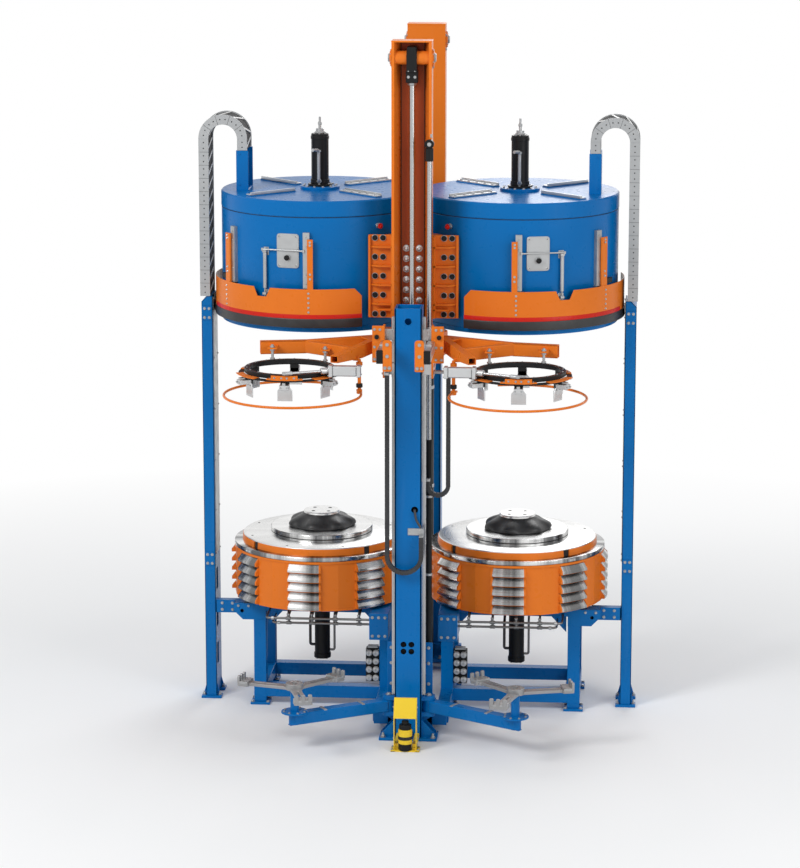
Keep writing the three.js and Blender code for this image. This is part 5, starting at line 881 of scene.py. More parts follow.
def guard(name, side):
    p = Part(f"vis_{name}_guard", f"{name}_guard", f"{name}_guard", side)
    cx = CAVITY
    outer, inner, lip = 800, 796, 0.8
    notch_half, notch_end = 40, 73
    start, end = -118.3, 15.0
    notch, notch_top = -62.5, 3276
    steps = 134
    # The sheet is laid out flat as angle and height, then wrapped.
    low, high, corner = 3123.0, 3345.0, 56.0
    per = outer * math.pi / 180  # millimetres of sheet in a degree

    def top_at(a):
        d = (a - start) * per
        if d < corner:
            return high - corner + d
        e = abs(a - notch) * per
        if e < notch_half:
            return notch_top
        if e < notch_end:
            return notch_top + (high - notch_top) * (e - notch_half) / (notch_end - notch_half)
        return high
    # Even steps, both sides of each bend of the notch, and the end of the corner
    stations = [start + (end - start) * i / steps for i in range(steps + 1)]
    for s, v, w in itertools.product((-1, 1), (notch_half, notch_end), (-0.1, 0.1)):
        stations.append(notch + s * (v + w) / per)
    angles = sorted(set(stations + [start + corner / per]))
    verts, faces = [], []
    for a in angles:
        t = top_at(a)
        for r, z in ((inner, low), (outer, low), (outer, (low + t) / 2), (outer, t - lip), (outer - lip, t),
                     (inner + lip, t), (inner, t - lip)):
            x, y = polar(r, a, cx)
            verts.append((x, y, z))
    for i in range(len(angles) - 1):
        for j in range(7):
            k = (j + 1) % 7
            faces.append([i * 7 + j, (i + 1) * 7 + j, (i + 1) * 7 + k, i * 7 + k])
    faces.append([0, 1, 2, 3, 4, 5, 6])
    n = (len(angles) - 1) * 7
    faces.append([n + i for i in (6, 5, 4, 3, 2, 1, 0)])
    p.add(verts, faces, "orange")
    p.lathe([(800, 3123), (802.5, 3123), (802.5, 3153), (800, 3155)], "red", cx, segs=110, a0=start, a1=-16,
            c=0.6)
    p.lathe([(797, 3057), (805, 3055), (806, 3060), (806, 3118), (804, 3123), (797, 3124)], "rubber", cx,
            segs=120, a0=start, a1=end, c=0.8)
    for angle, half, top in ((-90.2, 1.55, 3716), (-34.7, 2.3, 3711)):
        p.ring(782, 797, 3124, top, "orange", cx, segs=2, a0=angle - half, a1=angle + half, c=2)
        for z in (3421, 3456, 3673, 3695):
            p.bolt((*polar(797, angle, cx), z), outward(angle), 7, "steel", 6)
        for z in (3172, 3207, 3243, 3279, 3314):
            p.bolt((*polar(outer, angle + 0.9, cx), z), outward(angle), 6.5, "steel", 5)
    for k in range(14):
        a = start + 6 + k * 9.2
        p.bolt((*polar(outer, a, cx), 3139), outward(a), 4.5, "red", 3, washer=False, sides=12)
    return p.done()


# ---------------------------------------------------------------- energy chains and their posts
def slant_bar(p, x, z0, z1, y0, y1, u):
    """A flat bar that slants across the chain from one side plate to the other."""
    verts = []
    for y, z in ((y0, z0), (y1, z1)):
        for a, b in ((-2, -8), (2, -8), (2, 8), (-2, 8)):
            verts.append((x + a, y, z + b * u))
    p.add(verts, [[0, 1, 2, 3], [7, 6, 5, 4], [0, 4, 5, 1], [1, 5, 6, 2], [2, 6, 7, 3], [3, 7, 4, 0]],
          "white")


def chain_band(p, x, z0, z1, y0, y1, links, u_sign=1):
    """A straight run of the energy chain: side plates, black inside and slanting bars on both faces."""
    h = 38
    for y in (y0, y1 - 9):
        p.box(x - h, x + h, y, y + 9, z0, z1, "chain", 0.8)
    p.box(x - 27, x + 27, y0 + 8, y1 - 8, z0 + 1, z1 - 1, "dark", 0)
    step = (z1 - z0) / links
    for k in range(links):
        low = z0 + step * k
        if k:
            for y in (y0 - 0.6, y1 - 0.2):
                p.box(x - h + 1, x + h - 1, y, y + 0.8, low - 1, low + 1, "dark", 0)
        for w in (0.28, 0.72):
            for y, way in ((y0, -1), (y1, 1)):
                p.cyl((x, y, low + step * w), (x, y + way * 1.2, low + step * w), 5, "dark", 14, 0)
        for u in (-1, 1):
            slant_bar(p, x + u * 31, low + step * 0.16, low + step * 0.84, y0 + 9, y1 - 9, u)


def chain_link(p, x, z, angle, y0, y1, length=96.0):
    """The slanting bars and pins of one link of the chain's arch, turned about Y."""
    m = Matrix.Translation((x, 0, z)) @ Matrix.Rotation(-angle, 4, "Y")
    keep = p.matrix
    p.matrix = keep @ m
    for u in (-1, 1):
        slant_bar(p, u * 31, -length * 0.34, length * 0.34, y0 + 9, y1 - 9, u)
    for w in (-0.22, 0.22):
        for y, way in ((y0, -1), (y1, 1)):
            p.cyl((0, y, length * w), (0, y + way * 1.2, length * w), 5, "dark", 14, 0)
    p.matrix = keep


def energy_chain(name, side):
    ax, az, r = 1479, 4385, 147
    y0, y1 = CHAIN_FRONT, CHAIN_BACK
    base, inner_end = 3183.3, 4299.6
    outer = Part(f"vis_{name}_chain_outer", None, [], side)
    chain_band(outer, ax + r, base, az, y0, y1, 12)
    arch = Part(f"vis_{name}_chain_arch", None, [], side)
    turns = [math.pi * i / 28 for i in range(29)]

    def sector(low, high):
        return [(ax + high * math.cos(t), az + high * math.sin(t)) for t in turns] + \
               [(ax + low * math.cos(t), az + low * math.sin(t)) for t in reversed(turns)]
    for y in (y0, y1 - 9):
        arch.plate(sector(r - 38, r + 38), y, y + 9, "chain", frame="xz", c=0.8)
    arch.plate(sector(r - 27, r + 27), y0 + 8, y1 - 8, "dark", frame="xz", c=0)
    links = 5
    for k in range(links):
        a = math.pi * (k + 0.5) / links
        chain_link(arch, ax + r * math.cos(a), az + r * math.sin(a), a, y0, y1, r * math.pi / links)
        if k:
            b = math.pi * k / links
            m = (Matrix.Translation((ax + r * math.cos(b), 0, az + r * math.sin(b))) @
                 Matrix.Rotation(-b, 4, "Y"))
            arch.box(-37, 37, y0 - 0.6, y0 + 0.2, -1, 1, "dark", 0, turn=m)
            arch.box(-37, 37, y1 - 0.2, y1 + 0.6, -1, 1, "dark", 0, turn=m)
    inner = Part(f"vis_{name}_chain_inner", None, [], side)
    chain_band(inner, ax - r, inner_end, az, y0, y1, 1)
    outer.nodes = [f"{name}_energy_chain"]
    objs = [outer.done(), arch.done(), inner.done()]
    y = (SHIFT - 40) / 1000
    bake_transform(objs[0])
    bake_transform(objs[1])
    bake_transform(objs[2])
    return objs


def post(name, side):
    p = Part(f"vis_{name}_post", "press_frame", f"{name}_post", side)
    y0, y1 = CHAIN_FRONT, CHAIN_BACK
    x0, x1, top = 1572, 1656, 3183
    # Side cheeks with the chamfered top corner
    cheek = [(x0, 20), (x1, 20), (x1, top - 42), (x1 - 42, top), (x0, top)]
    for y in (y0, y1 - 6):
        p.plate(cheek, y, y + 6, "blue", frame="xz")
    holes = [rounded(rect(y0 + 45, y0 + 135, z, z + 170), 12) for z in (260, 560, 860)]
    p.plate(rect(y0, y1, 20, top), x0, x0 + 6, "blue", holes=holes, frame="yz")
    p.plate(rect(y0, y1, 20, top - 42), x1 - 6, x1, "blue", frame="yz")
    p.box(x0, x1 - 42, y0, y1, top - 6, top, "blue")
    m = Matrix.Translation((x1, 0, top - 42)) @ Matrix.Rotation(math.radians(-45), 4, "Y")
    p.box(-6, 0, y0, y1, 0, 59.4, "blue", 1, turn=m)
    # Galvanised inner lining and cable strip
    p.plate(rect(y0 + 30, y1 - 30, 1150, top - 20), x0 - 4, x0 + 1, "zinc", frame="yz")
    for z in (1160, 1500, 1900, 2300, 2700, 3053, 3160):
        p.bolts(x0 - 4, (y0 + 42, y1 - 42), z, (-1, 0, 0), 7, "steel", 5)
    # Splice plates
    for z in (3053, 1120):
        p.box(x0 + 4, x1 - 4, y0 - 6, y0 + 1, z - 55, z + 55, "blue")
        p.box(x0 + 4, x1 - 4, y1 - 1, y1 + 6, z - 55, z + 55, "blue")
        for dz in (-35, 35):
            for x in (x0 + 24, x1 - 24):
                p.bolt((x, y0 - 6, z + dz), (0, -1, 0), 9, "zinc", 7)
                p.bolt((x, y1 + 6, z + dz), (0, 1, 0), 9, "zinc", 7)
    for y in (y0 - 18, y1 + 18 - 96):
        p.box(x0 - 36, x1 + 36, y, y + 96, 0, 20, "blue", 2.5)
        for x in (x0 - 18, x1 + 18):
            p.vcyl(x, y + 48, 20, 46, 8, "zinc", 16, 1)
            p.bolt((x, y + 48, 20), (0, 0, 1), 13, "zinc", 11)
        p.plate([(x1, 20), (x1 + 26, 20), (x1, 110)], y + 44, y + 52, "blue", frame="xz")
        p.plate([(x0, 20), (x0 - 26, 20), (x0, 110)], y + 44, y + 52, "blue", frame="xz")
    return p.done()


# ---------------------------------------------------------------- masts, saddles and lift cylinders
def mast(name, sy):
    p = Part(f"vis_{name}_mast", "dome_carriage", f"{name}_mast")
    p.matrix = Matrix.Diagonal((1, sy, 1, 1))
    z0, z1 = 2700, 5190
    half, front, back = 147.5, -850, -700
    for s in (-1, 1):
        outline = [(s * half, front), (s * 127.5, front), (s * 90, -712), (s * 90, back), (s * half, back)]
        p.plate(outline, z0, z1 - 1.5, "orange", c=2)
        # Slide face, and a black strip in the guide strip's gap as painted shade
        p.box(s * 118, s * 127, -806, -786, z0 + 20, z1 - 30, "steel", 1.5)
        p.box(s * 84, s * 89.5, -717, -711, z0 + 4, z1 - 20, "dark", 1)
    # Web: its front face in darker orange as painted shade of the deep channel, its back face in orange
    p.plate(rect(-92, 92, z0 + 1, z1 - 3), -711.5, -704, "shaded_orange", frame="xz")
    p.plate(rect(-91, 91, z0 + 2, z1 - 4), -704.5, -700.4, "orange", frame="xz")
    for k in range(6):
        for x in (-48, 48):
            z = 3261 + 77.8 * k
            p.cyl((x, -710, z), (x, -716, z), 26, "zinc", 28, 1.5)
            p.cyl((x, -715.5, z), (x, -724, z), 22, "aluminium", 28, 3, r2=12)
    p.boxes("orange", 2, (-149, 149, -851.5, -698.5, z1 - 12, z1), (-90, 90, -713, -699, z0, z0 + 60))
    # Cross tube, cheeks and nuts at the head
    p.cyl((-163, HEAD_Y, HEAD_Z), (163, HEAD_Y, HEAD_Z), 50, "orange", 48, 3)
    for s in (-1, 1):
        p.cyl((s * 146, HEAD_Y, HEAD_Z), (s * 155.5, HEAD_Y, HEAD_Z), 66, "orange", 48, 3)
        p.cyl((s * 163, HEAD_Y, HEAD_Z), (s * 176, HEAD_Y, HEAD_Z), 34, "zinc", 6, 4)
        p.cyl((s * 155, HEAD_Y, HEAD_Z), (s * 165, HEAD_Y, HEAD_Z), 40, "zinc", 40, 2)
        for k in range(6):
            a = TAU * k / 6 + 0.5
            p.bolt((s * 155.5, HEAD_Y + 56 * math.cos(a), HEAD_Z + 56 * math.sin(a)), (s, 0, 0), 6, "zinc", 5,
                   washer=False)
        p.bolts(s * half, -735, (z1 - 200, z1 - 90), (s, 0, 0), 10, "zinc", 8)
    if sy > 0:
        for z in (4270, 4380, 4500):
            p.box(137, 152, -851.5, -838, z - 14, z + 14, "zinc", 2)
    return p.done()


def lift_rod(name, sy):
    p = Part(f"vis_{name}_lift_rod", "dome_carriage", f"{name}_lift_rod")
    p.matrix = Matrix.Diagonal((1, sy, 1, 1))
    p.vcyl(0, LIFT_Y, 2585, 4890, 22, "chrome", 40, 1)
    p.plate(chamfer(rect(-44, 44, -840, -760), 5), 4882, 4968, "black", c=4)
    p.vcyl(0, LIFT_Y, 4862, 4884, 32, "zinc", 6, 3)
    for x in (-24, 24):
        p.cyl((x, -838, 4926), (x, -848, 4926), 11, "zinc", 24, 2)
    # Strap round the cross tube
    hole = circle(HEAD_Y, HEAD_Z, 50.6, 40)
    strap = rounded(rect(-857, -723, 4960, 5129), [8, 8, 50, 50], 8)
    p.plate(strap, -38, 38, "black", holes=[hole], c=3, frame="yz")
    p.plate(chamfer(rect(-34, 34, -858, -722), 6), 5085, 5145, "black", c=4)
    p.bolts((-24, 24), (-852, -728), 4966, (0, 0, 1), 7, "zinc", 6)
    return p.done()


def lift_barrel(name, sy):
    p = Part(f"vis_{name}_lift_barrel", "press_frame", f"{name}_lift_barrel")
    p.matrix = Matrix.Diagonal((1, sy, 1, 1))
    top = 2695
    p.vpipe(0, LIFT_Y, 60, top, 57, 22.6, "black", 56, 2)
    p.vpipe(0, LIFT_Y, 2600, top, 60, 40, "black", 56, 4)
    p.vpipe(0, LIFT_Y, 84, 180, 60, 40, "black", 56, 3)
    for k in range(8):
        a = TAU * (k + 0.5) / 8
        p.bolt((46 * math.cos(a), LIFT_Y + 46 * math.sin(a), top), (0, 0, 1), 6, "steel", 4, washer=False,
               sides=12)
    p.box(-189.6, 189.6, -852, -748, 60, 84, "blue", 2)
    for x in (-165, -110, 110, 165):
        p.bolt((x, -825, 84), (0, 0, 1), 11, "zinc", 9)
        p.bolt((x, -775, 84), (0, 0, 1), 11, "zinc", 9)
    for z in (700, 1500, 2300):
        p.vpipe(0, LIFT_Y, z, z + 26, 60, 50, "zinc", 56, 2)
    return p.done()


def side_lift():
    p = Part("vis_side_lift_rod", "dome_carriage", "side_lift_rod")
    p.vcyl(*SIDE_LIFT, 2225, 4420, 17.5, "chrome", 36, 1)
    p.cyl((133, -898, 4442), (133, -850.3, 4442), 34, "black", 44, 4)
    p.cyl((133, -903, 4442), (133, -896, 4442), 15, "zinc", 32, 2)
    # Bell under the eye, open below, so that it passes over the barrel's gland
    p.vpipe(*SIDE_LIFT, 4318, 4412, 29.4, 27.4, "black", 40, 0.6)
    p.done()
    q = Part("vis_side_lift_barrel", "press_frame", "side_lift_barrel")
    q.pipe((*SIDE_LIFT, 40), (*SIDE_LIFT, 2240), 25, 18.1, "black", 44, 2)
    q.pipe((*SIDE_LIFT, 2180), (*SIDE_LIFT, 2240), 26.2, 18.1, "black", 44, 2)
    # Foot, bored for the lowered rod
    q.box(107, 159, -911.6, -899, 40, 160, "black", 2)
    q.box(107, 159, -861, -854, 40, 160, "black", 2)
    q.box(107, 114, -900, -860, 40, 160, "black", 1)
    q.box(152, 159, -900, -860, 40, 160, "black", 1)
    for z in (600, 1200, 1800):
        q.pipe((*SIDE_LIFT, z), (*SIDE_LIFT, z + 18), 28, 20, "zinc", 44, 2)
    q.done()


def saddle(name, sy):
    p = Part(f"vis_{name}_saddle", "dome_carriage", f"{name}_saddle")
    p.matrix = Matrix.Diagonal((1, sy, 1, 1))
    z0, z1 = 3114, 3737
    p.box(-336, 336, -640, -618, z0, z1, "orange", 2.5)
    p.box(-140, 140, -699.5, -636, z0, z1, "orange", 3)
    for s in (-1, 1):
        p.boxes("orange", 2, (s * 148, s * 166, -690, -636, z0 + 4, z1 - 4),
                (s * 318, s * 336, -662, -636, z0 + 4, z1 - 4),
                (s * 148, s * 263, -690, -636, z0 + 60, z0 + 74))
        for row in range(4):
            z = 3143 + 143 * row + 71.5
            p.plate([(s * 148, -690), (s * 263, -690), (s * 318, -648), (s * 318, -636), (s * 148, -636)], z,
                    z + 14, "orange", c=1.5)
        for row in range(5):
            z = 3143 + 143 * row
            for x in (227, 287):
                p.cyl((s * x, -640, z), (s * x, -646, z), 24, "zinc", 28, 1)
                p.bolt((s * x, -645, z), (0, -1, 0), 16, "black", 13)
    # Back ribs cut to the domes' curve
    for rib in range(6):
        z = z0 + 40 + rib * 110
        edge = []
        r = 751
        for k in range(13):
            x = 336 - (336 - 60) * k / 12
            d = CAVITY - x
            y = -math.sqrt(max(r * r - d * d, 0)) if d < r else -450
            edge.append((x, min(y, -450) if y > -450 else y))
        outline = [(336, -625)] + [e for e in edge if e[1] > -625] + [(60, -450), (-60, -450)]
        outline += [(-x, y) for x, y in reversed([e for e in edge if e[1] > -625])] + [(-336, -625)]
        keep = []
        for q in outline:
            if not keep or (Vector(q) - Vector(keep[-1])).length > 1:
                keep.append(q)
        p.plate(keep, z, z + 20, "orange", c=1.5)
    return p.done()


# ---------------------------------------------------------------- columns and base frames
def column(name, sy):
    front = sy > 0
    p = Part(f"vis_{name}_column", "press_frame", f"{name}_column")
    p.matrix = Matrix.Diagonal((1, sy, 1, 1))
    y0, y1, top = -1170, -970, 3273
    holes = [circle(0, 3177, 25, 32)]
    if front:
        holes += [circle(49, 1769, 25, 32)] + [circle(x, z, 22, 28) for x in (-34, 25) for z in (684, 738)]
    p.plate(rect(-100, 100, 0, top), y0, y0 + 12, "blue", holes=holes, frame="xz", c=2)
    p.plate(rect(-100, 100, 0, top), y1 - 12, y1, "blue", frame="xz", c=2)
    for s in (-1, 1):
        p.plate(rect(y0, y1, 0, top), s * 88, s * 100, "blue", frame="yz", c=2)
    # Black box in the foot and black sheet behind the front ports: painted shade inside the column
    p.box(-90, 90, y0 + 10, y1 - 10, 0, 60, "dark", 0)
    if front:
        p.box(-88, 88, y0 + 60, y0 + 64, 600, 1900, "dark", 0)
    p.box(-217, 217, -1205, -985, 0, 20, "blue", 3)
    for s in (-1, 1):
        for y in (-1175, -1015):
            p.vcyl(s * 187, y, 20, 56, 9, "zinc", 18, 1)
            p.bolt((s * 187, y, 20), (0, 0, 1), 16, "zinc", 14)
        for y in (-1145, -1045):
            p.plate([(s * 98, 10), (s * 203, 10), (s * 203, 40), (s * 98, 152)], y, y + 14, "blue",
                    frame="xz")
    p.boxes("blue", 2.5, (-170, 170, -970, -952, 0, 700), (-275, 275, -970, -912, 60, 165))
    for s in (-1, 1):
        p.plate([(s * 100, 160), (s * 260, 160), (s * 100, 420)], -964, -952, "blue", frame="xz")
        p.bolts(s * 240, -912, (90, 135), (0, 1, 0), 11, "zinc", 9)
        p.bolts(s * 140, -970, (220, 380, 540, 660), (0, -1, 0), 10, "zinc", 8)
        if front:
            lug = rounded(rect(s * 94, s * 196, -1126, -1034), [0, 34, 34, 0], 6)
            p.plate(lug, 168.7, 202.7, "blue", c=2)
            p.plate(lug, 291.3, 325.3, "blue", c=2)
            p.vcyl(s * 150, -1080, 168.7, 334, 15, "steel", 32, 2)
            p.vcyl(s * 150, -1080, 325, 331, 24, "zinc", 32, 1)
            p.vcyl(s * 150, -1080, 331, 340, 15, "zinc", 6, 2)
            p.vcyl(s * 150, -1080, 162, 169, 24, "zinc", 32, 1)
            p.plate([(s * 98, 169), (s * 98, 110), (s * 180, 169)], -1087, -1073, "blue", frame="xz")
    if front:
        p.box(-2, 117, -1178, -1169, 1578, 1631, "zinc", 2)
        p.bolts((12, 88), -1178, (1590, 1618), (0, -1, 0), 6, "steel", 5)
        p.boxes("zinc", 2, (85, 117, -1250, -1170, 1578, 1586), (94, 151, -1020, -980, 1950.3, 1970.3))
        # Strips beside the loader rails
        for s in (-1, 1):
            p.box(s * 99.5, s * 103, -1160, -1130, 1980, 3150, "zinc", 1)
        # Cables that leave by the ports
        p.tube([(49, -1168, 1769), (49, -1185, 1769), (60, -1192, 1700), (96, -1196, 1640)], 9, "cable",
               bend=20)
    p.pipe((0, y0 - 2, 3177), (0, y0 + 4, 3177), 31, 25, "blue", 36, 1)
    for s in (-1, 1):
        p.box(s * 84, s * 96, y0 + 6, y1 - 6, top - 14, top, "blue", 2)
    return p.done()


def loader_rail(name, side):
    p = Part(f"vis_{name}_loader_rail", "press_frame", f"{name}_loader_rail", side)
    outline = [(100.3, -1100), (108.6, -1100), (108.6, -1094), (117, -1094), (117, -1100), (125.3, -1100),
               (125.3, -1060), (117, -1060), (117, -1066), (108.6, -1066), (108.6, -1060), (100.3, -1060)]
    p.plate(outline, 330, 3200, "steel", c=1)
    for k in range(29):
        z = 380 + 100 * k
        # Dark discs ringed by steel: painted shade of the holes
        p.cyl((124.8, -1080, z), (125.8, -1080, z), 8, "dark", 18, 0)
        p.cyl((124.8, -1080, z), (125.5, -1080, z), 10, "steel", 18, 0.2)
    return p.done()


def h_beam_z(p, x, y, z0, z1, size=97.0):
    p.boxes("blue", 2, (x, x + size, y, y + 12, z0, z1), (x, x + size, y + size - 12, y + size, z0, z1))
    p.box(x + size / 2 - 5, x + size / 2 + 5, y + 10, y + size - 10, z0, z1, "blue", 1)


def base_frame(name, side):
    p = Part(f"vis_{name}_base_frame", "press_frame", f"{name}_base_frame", side)
    legs_x, legs_y = (190, 1165), (-320, 303)
    top = 844.7
    for x in legs_x:
        for y in legs_y:
            h_beam_z(p, x + 1.5, y + 1.5, 20, top - 1, 94)
            p.box(x + 48.5 - 75, x + 48.5 + 75, y + 48.5 - 75, y + 48.5 + 75, 0, 20, "blue", 3)
            for dx in (-60, 60):
                for dy in (-60, 60):
                    p.bolt((x + 48.5 + dx, y + 48.5 + dy, 20), (0, 0, 1), 12, "zinc", 11)
        p.boxes("blue", 3, (x, x + 97, -320.5, 400.5, 60, 157), (x, x + 97, -320.5, 400.5, top - 97, top))
    for y in legs_y:
        p.boxes("blue", 3, (189.5, 1262.5, y + 0.7, y + 96.3, 60.7, 156.3),
                (189.5, 1262.5, y + 0.7, y + 96.3, top - 96.3, top - 0.7))
        for x in (300, 1140):
            s = 1 if x == 300 else -1
            p.plate([(x - s * 14, top - 96), (x + s * 110, top - 96), (x - s * 14, top - 230)], y + 40,
                    y + 54, "blue", frame="xz")
    p.boxes("blue", 3, (191, 286, -911.7, -310, 61, 156), (191, 286, 390, 911.7, 61, 156))
    for y in (-905, 905):
        p.box(196, 281, y - 6, y + 6, 62, 155, "blue", 2)
    # Outrigger
    y0, y1 = -320, -198
    outline = [(1165, 677), (1345, 677), (1415, 747), (1415, 806), (1165, 806)]
    for y in (y0 - 2, y1 - 8):
        p.plate(outline, y, y + 8, "blue", holes=[circle(1350, 745, 14, 24)], frame="xz", c=1.5)
    p.boxes("blue", 1.5, (1165, 1414, y0, y1 - 1, 798, 805), (1165, 1344, y0, y1 - 1, 678, 685),
            (1407, 1414, y0, y1 - 1, 748, 805))
    # Black box inside the outrigger: painted shade
    p.box(1200, 1345, y0 + 10, y1 - 10, 690, 790, "dark", 0)
    p.bolts((1300, 1380), y0 - 2, 785, (0, -1, 0), 8, "zinc", 7)
    p.boxes("blue", 1.5, (1343, 1571.7, -206, -198, 698, 798), (1343, 1571, -205, -134, 790, 797),
            (1343, 1571, -205, -134, 699, 706), (1563, 1571.7, -206, -134, 698, 798),
            (1343, 1380, -205, -134, 699, 797))
    p.bolts((1440, 1520), -206, (722, 774), (0, -1, 0), 9, "zinc", 8)
    # Shelf
    p.boxes("blue", 2, (190, 336, -650, -308, 816, 830), (191, 335, -650.5, -636, 625, 829),
            (190, 204, -649, -308, 626, 829), (322, 336, -649, -308, 626, 829))
    for x in (215, 263, 311):
        p.bolt((x, -650, 800), (0, -1, 0), 9, "zinc", 8)
        p.bolt((x, -650, 655), (0, -1, 0), 9, "zinc", 8)
    # Header pipes with their small tees
    for z, end, y in ((768, 1130, -598), (722, 1086, -559)):
        p.tube([(322, y, z), (end, y, z), (end, -308, z)], 9, "iron", 16, bend=45)
        for x in (420, 600, 780, 960):
            if x > end - 60:
                continue
            p.cyl((x - 20, y, z), (x + 20, y, z), 13, "iron", 24, 2)
            p.vcyl(x, y, z, z + 30, 10, "iron", 24, 2)
            p.vcyl(x, y, z + 26, z + 38, 13, "zinc", 6, 2)
            p.tube([(x, y, z + 34), (x, y + 10, z + 56), (x, y + 90, z + 62), (x, y + 190, z + 62)], 7,
                   "cable", 12, bend=30)
        p.cyl((end - 60, y, z), (end - 38, y, z), 14, "zinc", 6, 2)
    return p.done()


def manifold(name, side):
    p = Part(f"vis_{name}_manifold", "press_frame", f"{name}_manifold", side)
    x0, x1, y0, y1, z0, z1 = 287.3, 392, -308, -232, 196, 461
    p.box(x0, x1, y0, y1, z0, z1, "black", 3)
    for row in range(4):
        for col in range(2):
            x = x0 + (x1 - x0) / 2 * (col + 0.5)
            z = z0 + (z1 - z0) / 4 * (row + 0.5)
            p.cyl((x, y0, z), (x, y0 - 20, z), 25, "zinc", 32, 2)
            p.cyl((x, y0 - 18, z), (x, y0 - 30, z), 20, "aluminium", 32, 3)
            p.cyl((x, y0 - 29, z), (x, y0 - 34, z), 10, "zinc", 6, 1)
            p.cyl((x, y1, z), (x, y1 + 18, z), 13, "zinc", 6, 1)
    p.bolts((x0 + 8, x1 - 8), y0, (z0 + 8, z1 - 8), (0, -1, 0), 5, "steel", 4, washer=False, sides=12)
    p.box(x0 + 10, x1 - 14, y0 + 10, y1 - 8, z1, z1 + 16, "zinc", 2)
    return p.done()


# ---------------------------------------------------------------- loaders
def beam_frame(a, b):
    angle = math.degrees(math.atan2(b[1] - a[1], b[0] - a[0]))
    return turn_z(angle, a[0], a[1]), math.hypot(b[0] - a[0], b[1] - a[1])


def square_tube(p, a, b, width, z0, z1, mat, open_end=False, wall=7):
    m, length = beam_frame(a, b)
    h = width / 2
    if not open_end:
        p.box(0, length, -h, h, z0, z1, mat, 4, turn=m)
        return
    p.box(0, length, -h, h, z0, z0 + wall, mat, 1.5, turn=m)
    p.box(0, length, -h, h, z1 - wall, z1, mat, 1.5, turn=m)
    p.box(0, length, -h, -h + wall, z0, z1, mat, 1.5, turn=m)
    p.box(0, length, h - wall, h, z0, z1, mat, 1.5, turn=m)
    # Black box inside the open end: painted shade
    p.box(0, length - 90, -h + 3, h - 3, z0 + 3, z1 - 3, "dark", 0, turn=m)


def loader_carriage(name, side):
    p = Part(f"vis_{name}_loader_carriage", f"{name}_loader_carriage", f"{name}_loader_carriage", side)
    x0, x1 = 171, 185
    outline = [(-1190, 2760), (-1010, 2760), (-866, 2837), (-866, 3062), (-1010, 3062), (-1094, 3148),
               (-1190, 3148)]
    p.plate(rounded(outline, [6, 20, 14, 14, 20, 20, 6], 4), x0, x1, "orange", frame="yz", c=2,
            holes=[circle(-960, 2845, 18, 24)])
    p.box(x0 + 0.5, 262, -1190.5, -1175, 2875, 3147, "orange", 2.5)
    p.plate([(-1176, 3100), (-1176, 2900), (-1120, 2900)], 184, 196, "orange", frame="yz")
    for z in (2775, 3030):
        outline = [(104, -1125), (x0 + 2, -1125), (x0 + 2, -1035), (104, -1035), (104, -1059.3),
                   (126.2, -1059.3), (126.2, -1100.7), (104, -1100.7)]
        p.plate(outline, z, z + 84, "steel", c=2)
        for y in (-1112, -1048):
            for dz in (20, 64):
                p.bolt((x1, y, z + dz), (1, 0, 0), 7, "steel", 6, washer=False, sides=12)
    px, py = PIVOT
    for low, high in ((2874.7, 2912.7), (3008.3, 3046.3)):
        outline = [(x0, -946), (px, -946), (px, -880), (px + 41, py - 20), (px + 42, py), (px + 38, py + 18),
                   (px + 22, py + 36), (px, py + 42), (px - 22, py + 36), (182, py + 12), (182, -866),
                   (x0, -866)]
        p.plate(outline, low, high, "orange", c=2.5)
    p.vcyl(px, py, 2868, 3050, 18, "steel", 32, 1)
    p.vcyl(px, py, 3046, 3052, 27, "zinc", 36, 1)
    p.vcyl(px, py, 3051, 3060, 18, "zinc", 6, 2)
    p.vcyl(px, py, 2862, 2875, 26, "zinc", 36, 2)
    # Swing drive: rail, slide and the orange ear at the front
    p.box(140, 198, -1622, -1175, 2962, 3034, "aluminium", 3)
    p.box(146, 192, -1610, -1190, 3033, 3042, "steel", 1.5)
    p.box(150, 188, -1420, -1320, 3040, 3052, "aluminium", 2)
    for y in (-1590, -1500, -1240):
        p.bolts((152, 186), y, 3034, (0, 0, 1), 5, "steel", 4, washer=False, sides=12)
    p.box(144, 194, -1640, -1606, 2950, 3046, "black", 2)
    ear = rounded(rect(82, 149, 2894, 3123), [10, 10, 26, 26], 6)
    p.plate(ear, -1640, -1628, "orange", frame="xz", c=2)
    p.plate([(x, min(z, 3070)) for x, z in ear], -1616, -1604, "orange", frame="xz", c=2)
    p.box(86, 145, -1630, -1614, 2900, 2960, "orange", 2)
    for x, z in ((100, 2920), (132, 2920), (116, 3090), (116, 3005)):
        p.bolt((x, -1640, z), (0, -1, 0), 10, "zinc", 9)
    p.cyl((228, -1190, 3066), (228, -1206, 3066), 17, "black", 30, 3)
    for z in (2900, 2990, 3120):
        p.bolts((205, 245), -1190, z, (0, -1, 0), 8, "zinc", 7)
    for y, z in ((-1160, 2790), (-1040, 2790), (-1150, 3120), (-900, 3040)):
        p.bolt((x1, y, z), (1, 0, 0), 9, "zinc", 8)
    if side > 0:
        p.boxes("zinc", 2, (x0, 301, -1020, -980, 2765.3, 2785.3), (269, 301, -1019, -981, 2765.8, 2779))
    else:
        p.box(134, 166, -1250, -1190, 2790.3, 2810.3, "zinc", 2)
        p.box(162, x0 + 2, -1249, -1184, 2790.8, 2850.3, "zinc", 1.5)
    return p.done()


